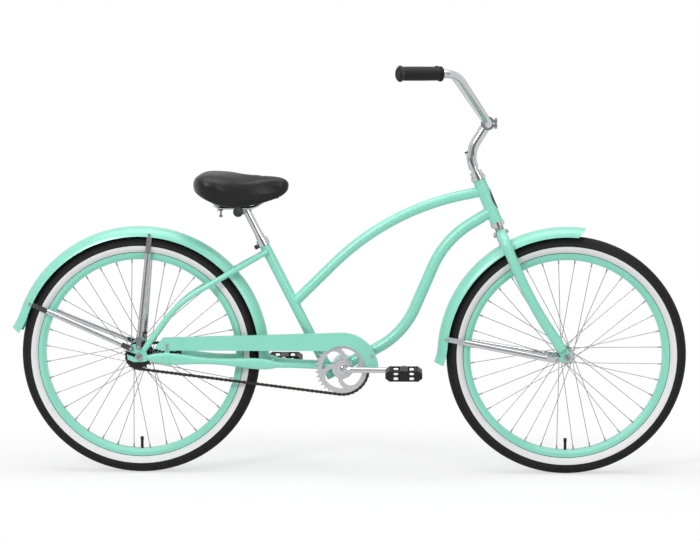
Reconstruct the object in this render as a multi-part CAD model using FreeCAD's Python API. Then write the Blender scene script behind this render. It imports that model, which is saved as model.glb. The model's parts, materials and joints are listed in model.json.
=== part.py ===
import FreeCAD, Part
import math
import os

# Beach cruiser bicycle in millimetres: +X is forward, +Y is the rider's left, +Z is up.
# Places are worked out from the rear axle, and at the end everything moves so that the
# origin lies on the ground under the middle of the bicycle.

Vector = FreeCAD.Vector
sideways = Vector(0, 1, 0)

# Fits
press_gap = 0.02
running_gap = 0.05
touch_gap = 0.3
overrun = 2.0

# Tyres and inner tubes
tyre_height = 53.0
tyre_width = 54.0
tyre_wall = 3.5
bead_radius = 279.5
bead_wall = 4.0
inner_tube_radius = 21.0
inner_tube_wall = 1.2
valve_radius = 4.0
valve_length = 22.0
valve_cap_radius = 4.6
valve_cap_length = 10.0

# Rims, spokes and nipples
rim_width = 32.0
rim_wall = 2.2
rim_flange_rise = 6.0
rim_shoulder_drop = 4.0
rim_well_drop = 13.5
rim_well_width = 18.0
spokes_per_side = 18
spoke_radius = 1.0
spoke_head_radius = 1.8
spoke_head = 1.0
spoke_outer_lift = 1.0
spoke_hole_radius = 1.35
spoke_lead = 60.0
spoke_elbow_share = 0.45
rim_hole_offset = 2.0
nipple_radius = 2.0
nipple_length = 12.0
first_rim_hole = 5.0

# Hubs and axles
hub_flange = 2.6
hub_flange_edge = 4.0
front_spoke_circle = 18.5
front_flange_place = 31.0
front_hub_half = 38.0
front_barrel_radius = 14.0
front_cone_radius = 8.0
front_cone_length = 14.0
rear_spoke_circle = 26.5
rear_flange_right = 24.0
rear_flange_left = 29.0
rear_hub_right = 34.0
rear_hub_left = 40.0
rear_barrel_radius = 19.0
rear_shell_wall = 4.5
brake_cone_radius = 12.0
brake_cone_length = 8.0
driver_radius = 15.0
driver_bore = 10.0
driver_inner = 26.0
driver_outer = 46.0
axle_radius = 4.75
axle_stub = 8.0
axle_stub_radius = 4.4
locknut_radius = 8.0
nut_radius = 8.8
nut_length = 9.0
washer_radius = 10.0
washer = 2.0
front_spacing = 100.0
rear_spacing = 110.0

# Chain drive
chain_pitch = 12.7
chain_links = 116
chainring_teeth = 36
sprocket_teeth = 18
chainline = 42.0
roller_radius = 3.9
roller_gap = 0.2
roller_width = 3.4
link_plate = 1.1
link_plate_radius = 4.2
link_waist = 6.2
link_gap = 0.1
pin_radius = 1.8
pin_end = 0.6
tooth_rise = 3.6
tooth_tip = 2.0
tooth_seat_turn = 75.0
sprocket_plate = 2.9
snap_ring = 1.5
snap_ring_width = 3.0

# Chainring openings
window_count = 4
window_inner = 25.0
window_outer = 56.0
window_width = 58.0
window_twist = 34.0
window_bow_share = 0.72
window_notches = 4
window_notch = 5.0
drive_pin_radius = 4.0
drive_pin_place = 19.0

# Crank and bottom bracket
bottom_bracket_drop = 33.5
shell_radius = 30.0
shell_bore = 25.65
shell_width = 70.0
cup_depth = 11.0
cup_lip = 3.0
cup_lip_radius = 28.0
cup_race = 20.0
cone_race = 13.0
cone_radius = 17.0
bearing_ball = 3.3
bearing_ball_count = 9
spindle_radius = 11.9
crank_length = 170.0
crank_radius = 8.0
crank_root = 66.0
crank_end = 78.0
crank_bend_share = 0.18
crank_eye_radius = 14.0
crank_eye = 17.0
crank_shoulder_radius = 15.0
crank_shoulder = 3.0

# Pedals
pedal_spindle_radius = 6.35
pedal_shaft_radius = 5.5
pedal_collar_radius = 9.5
pedal_collar = 5.0
pedal_gap = 8.0
pedal_width = 92.0
pedal_length = 100.0
pedal_height = 29.0
pedal_edge_share = 0.42
pedal_flat_share = 0.78
pedal_barrel_radius = 10.6
pedal_barrel_end = 3.0
pedal_cap = 3.0
pedal_wall = 8.0
pedal_window_width = 13.0
pedal_window_height = 8.0
pedal_window_ahead = 21.5
pedal_window_up = 6.8
pedal_nub_radius = 2.0
pedal_nub = 1.5
pedal_nub_count = 5

# Frame tubes
head_angle = 67.0
head_tube_length = 128.0
head_tube_radius = 17.8
head_tube_bore = 15.5
toe_gap = 288.5
fork_tyre_gap = 85.0
fork_rake = 35.0
tube_wall = 1.6
top_tube_radius = 14.3
top_tube_join = 93.0
top_tube_foot = 220.0
top_tube_corner_shares = (0.502, 0.834)
top_tube_bend_share = 0.81
down_tube_radius = 15.9
down_tube_join = 34.0
down_tube_upper_shares = (0.685, 0.816)
down_tube_lower_shares = (0.41, 0.211)
down_tube_bend_shares = (0.54, 0.42)
seat_angle = 63.0
seat_tube_setback = 40.0
seat_tube_radius = 14.3
seat_tube_length = 420.0
seat_tube_foot = 14.0
seat_tube_slit = 2.5
seat_tube_slit_depth = 30.0

# Stays, bridges and dropouts
dropout = 5.0
dropout_length = 58.0
dropout_height = 50.0
dropout_slot_rise = 18.0
dropout_outline_shares = ((0.41, -0.24), (0.41, 0.12), (0.34, 0.34), (0.13, 0.46), (0.09, 0.68),
                          (-0.07, 0.72), (-0.44, 0.62), (-0.56, 0.44), (-0.58, 0.2),
                          (-0.52, -0.16), (-0.24, -0.3), (0.17, -0.3))
eyelet_shares = ((0.0, 0.55), (-0.36, 0.46))
eyelet_radius = 2.5
chainstay_foot_shares = (0.41, -0.06)
chainstay_height = 30.0
chainstay_width = 18.0
chainstay_nose_gap = 21.0
chainstay_nose_place = 46.5
chainstay_station_shares = (0.0, 0.4, 0.8, 0.92, 1.0)
chainstay_height_shares = (0.47, 0.68, 1.0, 0.98, 0.6)
chainstay_width_shares = (0.7, 0.88, 1.0, 1.0, 0.95)
chainstay_wall = 1.8
chainstay_front_radius = 8.25
chainstay_front_place = 26.0
chainstay_turn_share = 0.6
chainstay_overlap = 8.0
seatstay_radius = 8.0
seatstay_foot_shares = (0.24, 0.36)
seatstay_join = 38.0
seatstay_corner_shares = (0.28, 0.486)
seatstay_turn_share = 0.62
seatstay_corner_place = 53.0
seatstay_turn_place = 47.0
seatstay_top_place = 15.0
seatstay_bend_shares = (0.42, 0.4)
bridge_radius = 6.5
bridge_bolt_radius = 2.5
bridge_bolt_head = 4.0

# Fenders
fender_crest_gap = 25.5
fender_width = 68.0
fender_depth = 27.0
fender_sheet = 1.2
rear_fender_start = -5.0
rear_fender_end = 161.0
front_fender_start = 81.5
front_fender_slant = 3.6
front_fender_end = 176.0
fender_flare_radius = 150.0
fender_flare_turn = 17.0
stay_half_width = 7.5
stay_half_depth = 4.5
stay_wall = 1.2
stay_tab = 2.5
stay_tab_width = 14.0
stay_tab_end = 36.0
stay_tab_overlap = 8.0
stay_tab_fender = 60.0
stay_place = 26.2
stay_reach = 5.5
stay_lean = 3.5
rear_stay_angles = (85.0, 155.0)
front_stay_angle = 172.0
screw_radius = 2.4
screw_head_radius = 4.4
screw_head = 2.2

# Chainguard
guard_sheet = 1.2
guard_place = 53.0
guard_flange = 14.0
guard_outer = 100.0
guard_cutout = 64.0
guard_front_turn = 3.0
guard_tip_ahead = 42.5
guard_tip_rise = 23.5
guard_heel_ahead = 66.0
guard_heel_rise = 51.5
guard_low_ahead = 63.5
guard_low_rise = 16.5
guard_clip_ahead = 78.0
guard_clip = 14.0
guard_clip_sheet = 1.6
guard_screw_spacing = 10.0
guard_standoff_radius = 5.0
guard_standoff_turn = 24.0
guard_standoff_place = 90.0

# Brake arm
brake_arm = 3.5
brake_arm_length = 100.0
brake_arm_width = 22.0
brake_arm_tip = 14.0
brake_clip = 14.0

# Fork
steerer_radius = 12.7
steerer_bore = 11.15
fork_leg_radius = 14.3
fork_leg_place = 52.5
fork_crown_drop = 33.0
fork_shoulder_drop = 14.0
fork_crown_bend_share = 0.56
fork_bend_height = 180.0
fork_bend_share = 0.7
fork_leg_end = 26.0
fork_tip_width = 26.0
fork_tip_overlap = 14.0
fork_eyelet_behind = 30.0
fork_eyelet_drop = 8.0
crown_bolt_radius = 3.0
crown_bolt_half = 21.0
fender_bracket_width = 18.0
fender_bracket = 2.0

# Headset
headset_cup_radius = 20.8
headset_cup = 10.0
headset_skirt = 10.0
headset_skirt_wall = 1.9
headset_ball = 2.4
headset_ball_count = 20
headset_ball_circle = 16.2
headset_flange_radius = 18.0
headset_flange = 3.6
headset_locknut_radius = 17.5
headset_locknut = 10.0
badge_width = 26.0
badge_height = 60.0
badge_sheet = 1.2

# Stem and handlebar
stem_radius = 11.1
stem_neck_radius = 14.2
stem_neck_start = 34.0
stem_neck_bend_share = 0.98
stem_height = 75.0
stem_depth = 62.0
stem_extension = 101.0
stem_angle = 58.3
stem_bend_share = 0.4
stem_clamp_radius = 19.0
stem_clamp_width = 38.0
stem_clamp_ear = 7.0
stem_clamp_slot = 3.0
stem_ear_width = 22.0
stem_ear_height = 20.0
stem_bolt_radius = 3.5
stem_bolt_head = 4.8
expander_radius = 4.0
expander_head_radius = 7.0
expander_head = 7.0
wedge_length = 26.0
wedge_slant = 30.0
plug_radius = 8.0
plug_rise = 3.0
plug_height = 9.0
bar_radius = 11.1
bar_wall = 1.8
bar_clamp_radius = 12.7
bar_bulge_half = 32.0
bar_taper = 10.0
bar_corner_place = 62.0
bar_rise = 137.0
bar_setback = 93.0
bar_upper_place = 252.0
bar_reach_back = 244.0
bar_end_place = 328.0
bar_bend_shares = (0.2, 0.22, 0.22, 0.2)
grip_length = 124.0
grip_radius = 17.2
grip_crown = 0.6
grip_flange_radius = 20.0
grip_flange = 6.0
grip_end_wall = 4.0

# Seatpost, collar and saddle clamp
seatpost_radius = 12.7
seatpost_top_radius = 11.1
seatpost_depth = 110.0
seatpost_shoulder = 14.0
seatpost_rise = 109.0
collar_wall = 3.2
collar_height = 20.0
collar_ear = 9.0
collar_ear_height = 12.0
collar_ear_width = 16.0
collar_bolt_radius = 3.0
collar_bolt_head_radius = 5.0
collar_bolt_head = 4.0
clamp_setback = 20.0
clamp_rise = 96.5
clamp_sleeve_wall = 2.6
clamp_sleeve = 30.0
clamp_half = 14.0
clamp_disc_radius = 14.0
clamp_disc_outer = 7.0
clamp_disc_gap = 2.0
clamp_bolt_radius = 4.0
clamp_nut_radius = 7.0
clamp_nut = 6.0

# Saddle
saddle_length = 270.0
saddle_behind_clamp = 127.0
saddle_width = 225.0
saddle_depth = 108.0
saddle_bottom_rise = 5.0
saddle_station_shares = (0.0, 0.05, 0.15, 0.3, 0.45, 0.6, 0.75, 0.88, 0.96, 1.0)
saddle_top_shares = (0.63, 0.82, 0.99, 0.97, 0.9, 0.845, 0.855, 0.87, 0.77, 0.61)
saddle_bottom_shares = (0.5, 0.4, 0.27, 0.1, 0.04, 0.08, 0.185, 0.333, 0.454, 0.556)
saddle_width_shares = (0.5, 0.8, 0.98, 1.0, 0.84, 0.58, 0.38, 0.29, 0.22, 0.1)
saddle_shoulder_share = 0.8
saddle_crown_share = 0.17
saddle_side_share = 0.52
saddle_hem_share = 0.86
saddle_skirt = 10.0
saddle_hollow_rise = 40.0
saddle_pan = 3.0
rail_radius = 3.5
rail_rise = 9.5
rail_place = 22.0
rail_front_ahead = 84.0
rail_front_place = 10.0
rail_ahead = 42.0
rail_behind = 60.0
rail_rear_behind = 74.0
rail_rear_place = 44.0
rail_bend_share = 0.35
rail_bridge_behind = 50.0
rail_bridge = 2.5
rail_bridge_width = 16.0
rail_bolt_radius = 3.0
rail_bolt_drop = 22.0
rail_nut_radius = 6.0
rail_nut = 6.0


# Shape helpers
def polar(radius, degrees):
    turn = math.radians(degrees)
    return Vector(radius * math.cos(turn), 0, radius * math.sin(turn))


def beside(point, place):
    return Vector(point.x, place, point.z)


def between(start, end, shares):
    return Vector(start.x + (end.x - start.x) * shares[0], 0, start.z + (end.z - start.z) * shares[1])


def rod(radius, start, end):
    return Part.makeCylinder(radius, (end - start).Length, start, end - start)


def sleeve(outer, inner, start, end):
    return rod(outer, start, end).cut(rod(inner, start, end))


def cross_rod(radius, centre, first, last):
    return rod(radius, beside(centre, first), beside(centre, last))


def cross_sleeve(outer, inner, centre, first, last):
    return sleeve(outer, inner, beside(centre, first), beside(centre, last))


def mirrored(shape):
    return shape.mirror(Vector(), sideways)


def both_sides(shape):
    return [shape, mirrored(shape)]


def turned(shape, centre, degrees):
    copy = shape.copy()
    copy.rotate(centre, Vector(0, -1, 0), degrees)
    return copy


def plate(outline, first, last):
    corners = [beside(point, first) for point in outline]
    return Part.Face(Part.makePolygon(corners + corners[:1])).extrude(Vector(0, last - first, 0))


def bar(start, end, width, first, last):
    along = (end - start).normalize()
    side = Vector(-along.z, 0, along.x) * (width / 2)
    return plate([start - side, end - side, end + side, start + side], first, last)


def hexagon(radius, centre, first, last):
    return plate([centre + polar(radius, 60 * corner) for corner in range(6)], first, last)


def lathe(outline, start, along):
    corners = [Vector(radius, 0, height) for radius, height in outline]
    face = Part.Face(Part.makePolygon(corners + corners[:1]))
    return set_along(face.revolve(Vector(), Vector(0, 0, 1), 360), start, along)


def set_along(shape, start, along):
    shape.Placement = FreeCAD.Placement(start, FreeCAD.Rotation(Vector(0, 0, 1), along))
    return shape


def leaned(shape, origin, up):
    # Stands a shape that was drawn about +Z at the origin along a direction in the XZ plane.
    lean = math.degrees(math.atan2(up.x, up.z))
    shape.Placement = FreeCAD.Placement(origin, FreeCAD.Rotation(sideways, lean))
    return shape


def block(size_x, size_y, size_z, start_x, start_z):
    return Part.makeBox(size_x, size_y, size_z, Vector(start_x, -size_y / 2, start_z))


def rounded_path(points, bend_shares):
    # Straight runs with a tangent arc at each corner, whose reach is a share of the shorter run.
    edges = []
    start = points[0]
    for before, corner, after, share in zip(points, points[1:], points[2:], bend_shares):
        reach = share * min((before - corner).Length, (after - corner).Length)
        back = (before - corner).normalize()
        ahead = (after - corner).normalize()
        half_turn = (math.pi - back.getAngle(ahead)) / 2
        radius = reach / math.tan(half_turn)
        inward = (back + ahead).normalize()
        first = corner + back * reach
        last = corner + ahead * reach
        middle = corner + inward * (radius / math.cos(half_turn) - radius)
        edges.append(Part.LineSegment(start, first).toShape())
        edges.append(Part.Arc(first, middle, last).toShape())
        start = last
    edges.append(Part.LineSegment(start, points[-1]).toShape())
    return Part.Wire(edges)


def pipe(path, radius):
    first = path.Edges[0]
    start = first.valueAt(first.FirstParameter)
    along = first.tangentAt(first.FirstParameter)
    ring = Part.Wire(Part.makeCircle(radius, start, along))
    return path.makePipeShell([ring], True, False)


def hollow_pipe(path, radius, wall):
    return pipe(path, radius).cut(pipe(path, radius - wall))


def ball_ring(ball, circle, count, centre, along):
    balls = []
    for place in range(count):
        spot = polar(circle, 360 * place / count)
        balls.append(set_along(Part.makeSphere(ball, Vector(spot.x, spot.z, 0)), centre, along))
    return balls


# Chain geometry
def pitch_radius(teeth):
    return chain_pitch / (2 * math.sin(math.pi / teeth))


ring_pitch = pitch_radius(chainring_teeth)
sprocket_pitch = pitch_radius(sprocket_teeth)


def chain_lean(distance):
    return math.asin((ring_pitch - sprocket_pitch) / distance)


def links_round(distance):
    lean = chain_lean(distance)
    ring_links = (math.pi + 2 * lean) * chainring_teeth / (2 * math.pi)
    sprocket_links = (math.pi - 2 * lean) * sprocket_teeth / (2 * math.pi)
    return 2 * distance * math.cos(lean) / chain_pitch + ring_links + sprocket_links


def centre_distance():
    low = ring_pitch + sprocket_pitch
    high = chain_links * chain_pitch
    while high - low > press_gap / chain_links:
        middle = (low + high) / 2
        if links_round(middle) < chain_links:
            low = middle
        else:
            high = middle
    return low


# Main points and directions
drive_distance = centre_distance()
tyre_radius = bead_radius + tyre_height
fender_crest = tyre_radius + fender_crest_gap
rear_axle = Vector(0, 0, tyre_radius)
bottom_bracket = Vector(math.sqrt(drive_distance ** 2 - bottom_bracket_drop ** 2), 0,
                        tyre_radius - bottom_bracket_drop)
wheelbase = bottom_bracket.x + toe_gap + tyre_radius
front_axle = Vector(wheelbase, 0, tyre_radius)
fork_length = tyre_radius + fork_tyre_gap
steer_up = polar(1, 180 - head_angle)
steer_ahead = polar(1, 90 - head_angle)
steer_foot = front_axle - steer_ahead * fork_rake
seat_up = polar(1, 180 - seat_angle)
seat_behind = polar(1, 270 - seat_angle)
seat_foot = bottom_bracket + seat_behind * seat_tube_setback
seat_top = seat_foot + seat_up * seat_tube_length
head_low = fork_length
head_high = fork_length + head_tube_length
front_half = front_spacing / 2
rear_half = rear_spacing / 2
front_dropout_outer = front_half + dropout
rear_dropout_outer = rear_half + dropout
dropout_centre = rear_half + dropout / 2


def on_steer(height, place=0, ahead=0):
    return steer_foot + steer_up * height + steer_ahead * ahead + Vector(0, place, 0)


def on_seat(height, place=0, behind=0):
    return seat_foot + seat_up * height + seat_behind * behind + Vector(0, place, 0)


def near_rear_axle(shares):
    return rear_axle + Vector(shares[0] * dropout_length, 0, shares[1] * dropout_height)


nodes = {}


# Wheels
rim_flange_radius = bead_radius + rim_flange_rise
rim_well_radius = bead_radius - rim_well_drop
rim_shoulder_radius = bead_radius - rim_shoulder_drop
rim_half = rim_width / 2
rim_inner_half = rim_half - rim_wall
well_half = rim_well_width / 2


def casing_arcs(half_width, foot_half, radius_at_side, foot_radius):
    # Sidewall arc, crown arcs and sidewall arc, from the right foot round to the left foot.
    rise = radius_at_side - foot_radius
    inset = half_width - foot_half
    sweep = (rise ** 2 + inset ** 2) / (2 * inset)
    side_centre = half_width - sweep
    half_turn = math.asin(rise / sweep) / 2
    crown = radius_at_side + half_width
    low = Vector(radius_at_side - sweep * math.sin(half_turn), 0,
                 side_centre + sweep * math.cos(half_turn))
    diagonal = half_width * math.sqrt(0.5)
    high = Vector(radius_at_side + diagonal, 0, diagonal)
    foot = Vector(foot_radius, 0, foot_half)
    side = Vector(radius_at_side, 0, half_width)
    top = Vector(crown, 0, 0)

    def flip(point):
        return Vector(point.x, 0, -point.z)
    return [Part.Arc(flip(foot), flip(low), flip(side)).toShape(),
            Part.Arc(flip(side), flip(high), top).toShape(),
            Part.Arc(top, high, side).toShape(),
            Part.Arc(side, low, foot).toShape()]


def make_tyre(centre):
    side_radius = tyre_radius - tyre_width / 2
    outer_foot = rim_inner_half - press_gap
    inner_foot = outer_foot - bead_wall
    foot_radius = rim_flange_radius + press_gap
    skin = casing_arcs(tyre_width / 2, outer_foot, side_radius, foot_radius)
    lining = casing_arcs(tyre_width / 2 - tyre_wall, inner_foot, side_radius, foot_radius)
    corners = []
    for side in (1, -1):
        outer = side * outer_foot
        inner = side * inner_foot
        corners.append([Vector(foot_radius, 0, outer), Vector(bead_radius, 0, outer),
                        Vector(bead_radius, 0, inner), Vector(foot_radius, 0, inner)])
    beads = []
    for bead in corners:
        for first, last in zip(bead, bead[1:]):
            beads.append(Part.LineSegment(first, last).toShape())
    wire = Part.Wire(Part.__sortEdges__(skin + lining + beads))
    solid = Part.Face(wire).revolve(Vector(), Vector(0, 0, 1), 360)
    return set_along(solid, centre, sideways)


def make_inner_tube(centre):
    circle = tyre_radius - tyre_wall - touch_gap - inner_tube_radius
    skin = Part.makeTorus(circle, inner_tube_radius, centre, sideways)
    hollow = Part.makeTorus(circle, inner_tube_radius - inner_tube_wall, centre, sideways)
    outer_end = centre + polar(rim_well_radius - valve_length, 270)
    cap_end = centre + polar(rim_well_radius - valve_length - valve_cap_length, 270)
    valve = rod(valve_radius, centre + polar(circle, 270), outer_end).cut(skin)
    cap = rod(valve_cap_radius, outer_end, cap_end)
    return [skin.cut(hollow), valve, cap]


def spoke_line(centre, circle, flange, side, place):
    # One spoke's path and its nipple's direction; odd places lean back and sit inside the flange.
    lean = 1 if place % 2 == 0 else -1
    rim_turn = first_rim_hole + 360 * place / spokes_per_side + (1 - side) * 90 / spokes_per_side
    hub_turn = rim_turn + lean * spoke_lead
    lift = spoke_outer_lift if lean > 0 else running_gap
    offset = lean * side * (hub_flange / 2 + spoke_radius + lift)
    far_side = -lean * side * (hub_flange / 2 + spoke_head)
    hub_point = centre + polar(circle, hub_turn)
    head = beside(hub_point, side * flange + far_side)
    elbow = beside(hub_point, side * flange + offset)
    rim_point = beside(centre + polar(rim_well_radius + rim_wall / 2, rim_turn), side * rim_hole_offset)
    return head, elbow, rim_point


def make_spokes(centre, circle, flange, side):
    spokes = []
    nipples = []
    holes = []
    for place in range(2):
        head, elbow, rim_point = spoke_line(centre, circle, flange, side, place)
        along = (rim_point - elbow).normalize()
        wire = pipe(rounded_path([head, elbow, rim_point], [spoke_elbow_share]), spoke_radius)
        stub = (elbow - head).normalize()
        spoke = wire.fuse(rod(spoke_head_radius, head, head + stub * (spoke_head - press_gap)))
        start = rim_point - along * nipple_length
        end = rim_point + along * rim_wall
        nipple = sleeve(nipple_radius, spoke_radius + press_gap, start, end)
        hole = rod(nipple_radius + press_gap, start, end + along * overrun)
        for copy in range(spokes_per_side // 2):
            turn = 720 * copy / spokes_per_side
            spokes.append(turned(spoke, centre, turn))
            nipples.append(turned(nipple, centre, turn))
            holes.append(turned(hole, centre, turn))
    return spokes, nipples, holes


def make_rim(centre, holes):
    outline = [(rim_flange_radius, rim_half), (rim_shoulder_radius, rim_half),
               (rim_well_radius, well_half), (rim_well_radius, -well_half),
               (rim_shoulder_radius, -rim_half), (rim_flange_radius, -rim_half),
               (rim_flange_radius, -rim_inner_half), (rim_shoulder_radius + rim_wall, -rim_inner_half),
               (rim_well_radius + rim_wall, -well_half), (rim_well_radius + rim_wall, well_half),
               (rim_shoulder_radius + rim_wall, rim_inner_half), (rim_flange_radius, rim_inner_half)]
    rim = lathe(outline, centre, sideways)
    valve_hole = rod(valve_radius + press_gap, centre + polar(rim_well_radius - overrun, 270),
                     centre + polar(bead_radius, 270))
    return rim.cut(Part.makeCompound(holes + [valve_hole]))


def drill_flanges(hub, centre, circle, flanges):
    drills = []
    for side, flange in zip((1, -1), flanges):
        for place in range(spokes_per_side):
            hub_turn = first_rim_hole + 360 * place / spokes_per_side + (1 - side) * 90 / spokes_per_side
            point = centre + polar(circle, hub_turn + spoke_lead)
            half = hub_flange / 2 + overrun
            drills.append(cross_rod(spoke_hole_radius, point, side * flange - half, side * flange + half))
    return hub.cut(Part.makeCompound(drills))


def make_front_hub():
    flange_radius = front_spoke_circle + hub_flange_edge
    inner = front_flange_place - hub_flange / 2
    outer = front_flange_place + hub_flange / 2
    bore = front_cone_radius + running_gap
    barrel = front_barrel_radius
    outline = [(bore, -front_hub_half), (barrel, -front_hub_half), (barrel, -outer), (flange_radius, -outer),
               (flange_radius, -inner), (barrel, -inner), (barrel, inner), (flange_radius, inner),
               (flange_radius, outer), (barrel, outer), (barrel, front_hub_half), (bore, front_hub_half)]
    return lathe(outline, front_axle, sideways)


def make_rear_hub():
    flange_radius = rear_spoke_circle + hub_flange_edge
    half = hub_flange / 2
    driver_hole = driver_radius + running_gap
    cavity = rear_barrel_radius - rear_shell_wall
    brake_hole = brake_cone_radius + running_gap
    cone_start = rear_hub_left - brake_cone_length + brake_arm
    outline = [(driver_hole, -rear_hub_right), (rear_barrel_radius, -rear_hub_right),
               (rear_barrel_radius, -rear_flange_right - half), (flange_radius, -rear_flange_right - half),
               (flange_radius, -rear_flange_right + half), (rear_barrel_radius, -rear_flange_right + half),
               (rear_barrel_radius, rear_flange_left - half), (flange_radius, rear_flange_left - half),
               (flange_radius, rear_flange_left + half), (rear_barrel_radius, rear_flange_left + half),
               (rear_barrel_radius, rear_hub_left), (brake_hole, rear_hub_left), (brake_hole, cone_start),
               (cavity, cone_start), (cavity, -driver_inner + touch_gap),
               (driver_hole, -driver_inner + touch_gap)]
    return lathe(outline, rear_axle, sideways)


def make_axle(centre, outer, cones):
    stub_start = outer + washer + nut_length
    stub_end = stub_start + axle_stub
    axle = cross_rod(axle_radius, centre, -stub_start, stub_start)
    axle = axle.fuse(cross_rod(axle_stub_radius, centre, -stub_end, stub_end))
    for radius, first, last in cones:
        axle = axle.fuse(cross_rod(radius, centre, first, last))
    nuts = []
    hole = axle_radius + press_gap
    for side in (-1, 1):
        face = side * outer
        nut_face = side * (outer + washer)
        nut_end = side * stub_start
        nuts.append(cross_sleeve(washer_radius, hole, centre, face, nut_face))
        nut = hexagon(nut_radius, centre, nut_face, nut_end)
        nuts.append(nut.cut(cross_rod(hole, centre, nut_face, nut_end)))
    return axle, nuts


def build_wheel(name, centre, hub, circle, flanges):
    spokes = []
    nipples = []
    holes = []
    for side, flange in zip((1, -1), flanges):
        side_spokes, side_nipples, side_holes = make_spokes(centre, circle, flange, side)
        spokes += side_spokes
        nipples += side_nipples
        holes += side_holes
    nodes[name + "_tyre"] = [make_tyre(centre)]
    nodes[name + "_inner_tube"] = make_inner_tube(centre)
    nodes[name + "_rim"] = [make_rim(centre, holes)]
    nodes[name + "_spokes"] = spokes + nipples
    nodes[name + "_hub"] = [drill_flanges(hub, centre, circle, flanges)]


def build_wheels():
    front_flanges = (front_flange_place, front_flange_place)
    rear_flanges = (rear_flange_left, rear_flange_right)
    build_wheel("front", front_axle, make_front_hub(), front_spoke_circle, front_flanges)
    build_wheel("rear", rear_axle, make_rear_hub(), rear_spoke_circle, rear_flanges)
    cone_end = front_hub_half + touch_gap
    front_cones = []
    for side in (-1, 1):
        front_cones.append((front_cone_radius, side * (cone_end - front_cone_length), side * cone_end))
        front_cones.append((locknut_radius, side * cone_end, side * front_half))
    brake_end = rear_hub_left + touch_gap
    rear_cones = [(driver_bore - running_gap, -driver_inner - touch_gap, -driver_outer),
                  (locknut_radius, -driver_outer, -rear_half),
                  (brake_cone_radius, brake_end + brake_arm - brake_cone_length, brake_end),
                  (locknut_radius, brake_end, rear_half)]
    axle, nuts = make_axle(front_axle, front_dropout_outer, front_cones)
    nodes["front_axle"] = [axle]
    nodes["front_axle_nuts"] = nuts
    axle, nuts = make_axle(rear_axle, rear_dropout_outer, rear_cones)
    nodes["rear_axle"] = [axle]
    nodes["rear_axle_nuts"] = nuts


# Chain, sprockets and crank
drive_tilt = math.degrees(math.atan2(-bottom_bracket_drop, bottom_bracket.x))
lean_degrees = math.degrees(chain_lean(drive_distance))
run_links = drive_distance * math.cos(chain_lean(drive_distance)) / chain_pitch
ring_tooth = 360 / chainring_teeth
sprocket_tooth = 360 / sprocket_teeth
ring_links = (180 + 2 * lean_degrees) / ring_tooth


def chain_point(count):
    # The place of one pin, counted in links from where the upper run leaves the sprocket.
    upper = 90 + lean_degrees + drive_tilt
    lower = -90 - lean_degrees + drive_tilt
    if count <= run_links:
        return rear_axle + polar(sprocket_pitch, upper) + polar(count * chain_pitch, upper - 90)
    count -= run_links
    if count <= ring_links:
        return bottom_bracket + polar(ring_pitch, upper - count * ring_tooth)
    count -= ring_links
    if count <= run_links:
        return bottom_bracket + polar(ring_pitch, lower) + polar(count * chain_pitch, lower - 90)
    count -= run_links
    return rear_axle + polar(sprocket_pitch, lower - count * sprocket_tooth)


def link_plates(first, last):
    half = chain_pitch / 2
    body = bar(Vector(-half, 0, 0), Vector(half, 0, 0), link_waist, first, last)
    for end in (-half, half):
        body = body.fuse(cross_rod(link_plate_radius, Vector(end, 0, 0), first, last))
    return body


def make_links():
    half = roller_width / 2
    outer_face = half + link_plate + link_gap
    pin_half = outer_face + link_plate + pin_end
    inner = link_plates(half, half + link_plate).fuse(link_plates(-half - link_plate, -half))
    outer = link_plates(outer_face, outer_face + link_plate)
    outer = outer.fuse(link_plates(-outer_face - link_plate, -outer_face))
    for side in (-1, 1):
        end = Vector(side * chain_pitch / 2, 0, 0)
        inner = inner.fuse(cross_rod(roller_radius, end, -half, half))
        inner = inner.cut(cross_rod(pin_radius + link_gap, end, -pin_half, pin_half))
        outer = outer.fuse(cross_rod(pin_radius, end, -pin_half, pin_half))
    return inner, outer


def build_chain():
    kinds = make_links()
    links = []
    for count in range(chain_links):
        start = chain_point(count)
        end = chain_point((count + 1) % chain_links)
        along = end - start
        middle = beside((start + end) / 2, -chainline)
        link = turned(kinds[count % 2], Vector(), math.degrees(math.atan2(along.z, along.x)))
        link.translate(middle)
        links.append(link)
    nodes["chain"] = links


def toothed_wheel(centre, teeth, gap_point):
    pitch = pitch_radius(teeth)
    seat = roller_radius + roller_gap
    tip = pitch + tooth_rise
    tip_turn = 180 / teeth - math.degrees(tooth_tip / 2 / tip)
    towards = gap_point - centre
    first_gap = math.degrees(math.atan2(towards.z, towards.x))
    ends = []
    edges = []
    for tooth in range(teeth):
        gap = first_gap + 360 * tooth / teeth
        middle = centre + polar(pitch, gap)
        start = middle + polar(seat, gap + 180 + tooth_seat_turn)
        finish = middle + polar(seat, gap + 180 - tooth_seat_turn)
        edges.append(Part.Arc(start, middle + polar(seat, gap + 180), finish).toShape())
        tip_before = centre + polar(tip, gap - tip_turn)
        tip_after = centre + polar(tip, gap + tip_turn)
        ends.append((start, tip_before, tip_after, finish))
    for tooth in range(teeth):
        start, tip_before, tip_after, finish = ends[tooth]
        following = ends[(tooth + 1) % teeth]
        corners = [finish, tip_after, following[1], following[0]]
        for first, last in zip(corners, corners[1:]):
            edges.append(Part.LineSegment(first, last).toShape())
    face = Part.Face(Part.Wire(Part.__sortEdges__(edges)))
    face.translate(Vector(0, -chainline - sprocket_plate / 2, 0))
    return face.extrude(Vector(0, sprocket_plate, 0))


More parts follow.
